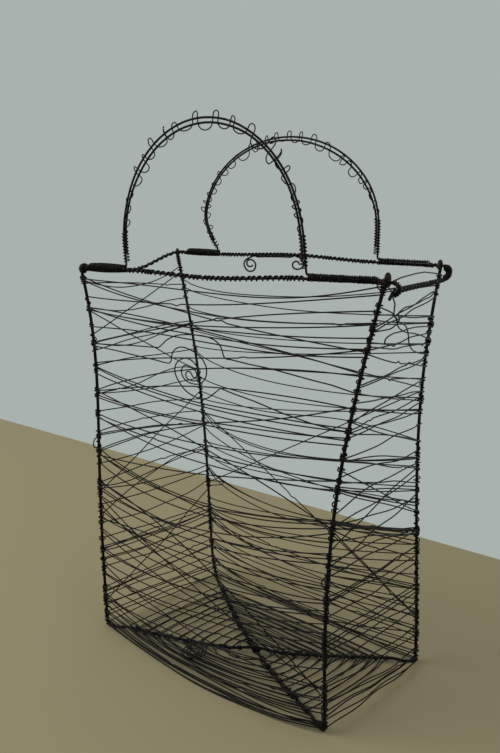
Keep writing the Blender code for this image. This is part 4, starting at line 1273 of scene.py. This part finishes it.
def wall_bow(side):
    """How far the strands of one wall bow outwards, most just above the floor, and how far they dip."""
    def hang(middle, across, outside, dip):
        share = max(1 - middle.z / WEAVE_BOW_HEIGHT, 0)
        most = min(WEAVE_BOW[side] * share ** 2, MOST_BOW)
        bow = square_to(across, outside) * (LEAST_BOW + most * chance.uniform(0.8, 1))
        seen = (photo_row(middle + bow) - photo_row(middle)) * photo_size(middle)
        return bow, dip - seen, WALL_SKEW
    return hang


def floor_bow(side):
    """How far the strands of one quarter of the floor bow outwards: most far from the crossing."""
    least, most = FLOOR_QUARTERS[side][2]

    def hang(middle, across, outside, dip):
        level = flat(across.cross(UP))
        if level.dot(middle - CROSS) < 0:
            level = -level
        share = min((Vector((middle.x, middle.y, 0)) - CROSS).length / FLOOR_BOW_LENGTH, 1)
        bow = (least + (most - least) * share) * chance.uniform(0.85, 1)
        return level * bow, dip, 0.6 + 0.55 * share ** 2
    return hang


def climbing_turns(climb):
    """More turns where the wire climbs further along a rod before it crosses again."""
    if climb > LEAST_CLIMB:
        return max(1, min(MOST_TURNS, round(climb / TURN_CLIMB)))
    return chance.choice((0, 1))


def wall_runs(side):
    """The runs of one wall: their places on its two posts, their dip and their sway, all in mm."""
    first, second = (RODS[name] for name in SIDES[side])
    runs = []
    for row, far_row, *sags in WALL_RUNS[side]:
        start, end = first.by_row(row), second.by_row(far_row)
        size = photo_size(first.at(start)[0].lerp(second.at(end)[0], 0.5))
        runs.append((start, end, *(sag * size for sag in sags)))
    return runs


def chained(runs):
    """The runs ordered into wires: each wire goes on from where it is to the nearest unused run."""
    left = list(runs)
    wires = []
    while left:
        wire = [left.pop(0)]
        while left:
            end = len(wire) % 2
            climb, nearest = min((abs(run[end] - wire[-1][end]), n) for n, run in enumerate(left))
            if climb > LONGEST_CLIMB:
                break
            wire.append(left.pop(nearest))
        wires.append(wire)
    return wires


def lacing_reach(side, outside):
    """How far from a post's middle a strand goes round it."""
    return POST_RADIUS + WEAVE_DIAMETER / 2 + (0.0 if side in ("front", "back") else outside)


def make_walls():
    for side, (first, second) in SIDES.items():
        reach = lacing_reach(side, SIDE_WALL_REACH)
        wires = [laced(RODS[first], RODS[second], runs, reach, wall_bow(side), climbing_turns,
                       WALL_WAVER[side], WALL_LEAN[side])
                 for runs in chained(wall_runs(side))]
        piece("wall_weave_" + side, [bent_wire(path, WEAVE_DIAMETER, THIN_SIDES) for path in wires],
              WEAVE_WIRE, "bag",
              [f"weave_{side}_{band}" for band in ("low_a", "low_b", "mid", "high")])


def banded(number, count, bands):
    """The share of the quarter at which a strand lies, with the strands drawn together into bands."""
    place = number / count * bands
    band = int(place)
    drawn = band + BAND_WIDTH * (place - band) + chance.uniform(0, BAND_STRAY)
    return min(drawn / (bands - LAST_BAND), 1)


def floor_turns(climb):
    """A whole turn round an arm now and then, however far the wire climbs."""
    return 1 if chance.random() < FLOOR_TURN_CHANCE else 0


def make_floor():
    for side, (first, second) in SIDES.items():
        reach = lacing_reach(side, SIDE_FLOOR_REACH)
        count, starts, _, bands = FLOOR_QUARTERS[side]
        limits = []
        for name, start in zip((first, second), starts):
            rod = RODS[name]
            far = max(mark for mark, point in zip(rod.marks, rod.points)
                      if mark < rod.corner() - ARM_END_ROOM and point.z > FULL_ARM_HEIGHT)
            limits.append((max(start * far, ARM_END_ROOM), far))
        (near, far), (other_near, other_far) = limits
        runs = []
        for i in range(count):
            share = banded(i, count, bands)
            stray = chance.uniform(-FLOOR_STRAY, FLOOR_STRAY)
            runs.append((near + (far - near) * min(max(share + stray, 0), 1),
                         other_near + (other_far - other_near) * share, 0))
        path = laced(RODS[first], RODS[second], runs, reach, floor_bow(side), floor_turns, FLOOR_WAVER)
        piece("floor_weave_" + side, [bent_wire(path, WEAVE_DIAMETER, THIN_SIDES)], WEAVE_WIRE, "bag",
              ["floor_wire_" + side])


def on_wall(side, column, row, out):
    """The place on a wall that shows at a place in the photograph, a little outside the wall."""
    first, second = (RODS[name] for name in SIDES[side])
    (start, along), (end, other) = first.at(first.by_row(row)), second.at(second.by_row(row))
    facing = (along + other).cross(end - start).normalized()
    if facing.dot(start - BAG_MIDDLE) < 0:
        facing = -facing
    return photo_place(column, row, start, facing) + facing * out


def tie(side, name, row, towards, reach):
    """A wire's turns round a post, ending outside it, on its way towards a place."""
    rod = RODS[name]
    place = rod.by_row(row)
    centre, along = rod.at(place)
    across = (towards - centre).normalized()
    outside = along.cross(across)
    if outside.dot(on_wall(side, *SIDE_MIDDLES[side], 0) - BAG_MIDDLE) < 0:
        outside = -outside
    return turns_round(rod, place + TIE_CLIMB, place, across, outside, False, 1, reach)


def traced_wire(side, start, places, end):
    """A wire that follows the photograph from the post it is tied to, to another or to its end."""
    reach = POST_RADIUS + WEAVE_DIAMETER / 2
    count = len(places)
    run = [on_wall(side, *place, reach + TRACED_ROOM + TRACED_RISE * n / count)
           for n, place in enumerate(places)]
    path = [*tie(side, *start, run[0], reach), *run]
    if end:
        path += reversed(tie(side, *end, run[-1], reach))
    return eased(path, 3)


def make_traced_wires():
    scroll, *others = (traced_wire(*wire) for wire in TRACED_WIRES)
    piece("front_spiral_wire", [bent_wire(scroll, WEAVE_DIAMETER, ROPE_SIDES)], SCROLL_WIRE, "bag",
          ["front_scroll"])
    piece("loose_wires", [bent_wire(path, WEAVE_DIAMETER, THIN_SIDES) for path in others], WEAVE_WIRE,
          "bag", [])


def make_rim_spirals():
    """One wire under the back rim, held by the rim's winding, with a spiral at each end."""
    middle, along = back_rim(RIM_SPIRAL_PLACE), rim_tangent("back", RIM_SPIRAL_PLACE)
    facing = outward(middle, along)
    spirals = [[photo_place(*place, middle, facing) for place in places] for places in RIM_SPIRALS]
    first, last = ((spiral[0] - RIM_CORNERS["back"]).dot(along) for spiral in spirals)
    drop = RIM_RADIUS + RIM_SPIRAL_DIAMETER / 2
    run = [back_rim(s) - UP * drop for s in spaced(first + RIM_SPIRAL_BEND, last - RIM_SPIRAL_BEND, 8)]
    path = eased([*reversed(spirals[0]), *run, *spirals[1]], 2)
    piece("back_rim_spirals", [bent_wire(path, RIM_SPIRAL_DIAMETER, RIM_SPIRAL_SIDES)], SCROLL_WIRE,
          "bag", ["back_rim_scroll"])


def make_floor_spiral():
    """A spiral lying on the floor strands, hooked on to the left diagonal."""
    rod = RODS["left"]
    place = rod.corner() * FLOOR_SPIRAL_PLACE
    seat, along = rod.at(place)
    level = flat(along)
    front = UP.cross(level)
    if front.y > 0:
        front = -front
    lift = POST_RADIUS + WEAVE_DIAMETER + SCROLL_DIAMETER / 2 + FLOOR_SPIRAL_ROOM
    forward = FLOOR_SPIRAL_RADIUS + FLOOR_SPIRAL_FORWARD
    centre = seat + front * forward - level * FLOOR_SPIRAL_BACKWARD + UP * lift
    path = []
    for share in spaced(0, 1, 90):
        turn = 2 * math.pi * (0.25 + FLOOR_SPIRAL_TURNS * share)
        radius = FLOOR_SPIRAL_EYE + (FLOOR_SPIRAL_RADIUS - FLOOR_SPIRAL_EYE) * share
        path.append(centre - radius * (level * math.cos(turn) + front * math.sin(turn))
                    + UP * FLOOR_SPIRAL_RISE * share)
    tied = turns_round(rod, place + FLOOR_SPIRAL_TIE, place, front, UP, False, 1,
                       POST_RADIUS + SCROLL_DIAMETER / 2)
    path += reversed(tied)
    piece("floor_spiral_wire", [bent_wire(eased(path, 2), FLOOR_SPIRAL_DIAMETER, ROPE_SIDES)], SCROLL_WIRE,
          "bag", ["floor_scroll"])


# Stage


def matt(name, colour):
    """A plain finish of one colour, without gloss."""
    made = bpy.data.materials.new(name)
    made.use_nodes = True
    shader = made.node_tree.nodes["Principled BSDF"]
    shader.inputs["Base Color"].default_value = (*colour, 1)
    shader.inputs["Roughness"].default_value = 0.9
    shader.inputs["Specular IOR Level"].default_value = 0.2
    return made


def make_ground_and_daylight():
    """Plain ground that ends behind the bag, a paler backdrop past it, and soft daylight."""
    work = bmesh.new()
    bmesh.ops.create_grid(work, x_segments=1, y_segments=1, size=GROUND_HALF)
    bmesh.ops.translate(work, vec=(0, GROUND_END - GROUND_HALF, -GROUND_DROP), verts=work.verts)
    mesh = bpy.data.meshes.new("studio_floor")
    work.to_mesh(mesh)
    work.free()
    floor = bpy.data.objects.new("studio_floor", mesh)
    bpy.context.scene.collection.objects.link(floor)
    mesh.materials.append(matt("floor_finish", GROUND_COLOUR))
    world = bpy.data.worlds.new("studio")
    world.use_nodes = True
    tree = world.node_tree
    light = tree.nodes["Background"]
    light.inputs["Color"].default_value = (*DAYLIGHT, 1)
    light.inputs["Strength"].default_value = 1.0
    wall = add(tree, "ShaderNodeBackground", sockets={"Color": (*BACKDROP_COLOUR, 1), "Strength": 1.0})
    seen = add(tree, "ShaderNodeLightPath").outputs["Is Camera Ray"]
    shown = add(tree, "ShaderNodeMixShader", sockets={
        0: seen, 1: light.outputs["Background"], 2: wall.outputs["Background"]})
    tree.links.new(shown.outputs["Shader"], tree.nodes["World Output"].inputs["Surface"])
    bpy.context.scene.world = world


def lamp(name, place, target, size, power):
    """A soft round lamp that shines at a target."""
    data = bpy.data.lights.new(name, "AREA")
    data.shape = "DISK"
    data.size = size
    data.energy = power
    made = bpy.data.objects.new(name, data)
    made.location = place
    made.rotation_euler = (Vector(target) - Vector(place)).to_track_quat("-Z", "Y").to_euler()
    bpy.context.scene.collection.objects.link(made)


def make_camera():
    """The camera that took the photograph."""
    data = bpy.data.cameras.new("photograph")
    data.sensor_width = SENSOR
    data.sensor_fit = "AUTO"
    data.lens = LENS
    data.clip_start = 0.01
    made = bpy.data.objects.new("photograph", data)
    made.location = CAMERA_PLACE * MM
    made.rotation_euler = CAMERA_TURN
    bpy.context.scene.collection.objects.link(made)
    bpy.context.scene.camera = made


make_camera()
make_ground_and_daylight()
lamp("window", (-1.3, -1.0, 1.5), (-0.1, 0, 0.15), 1.5, 24)
lamp("fill", (1.8, -0.4, 1.6), (0, 0, 0.2), 1.4, 6)
make_frame()
make_rim_windings()
make_lashing()
make_handle("front")
make_handle("back")
make_walls()
make_floor()
make_traced_wires()
make_rim_spirals()
make_floor_spiral()

bpy.context.scene.view_settings.view_transform = "Standard"
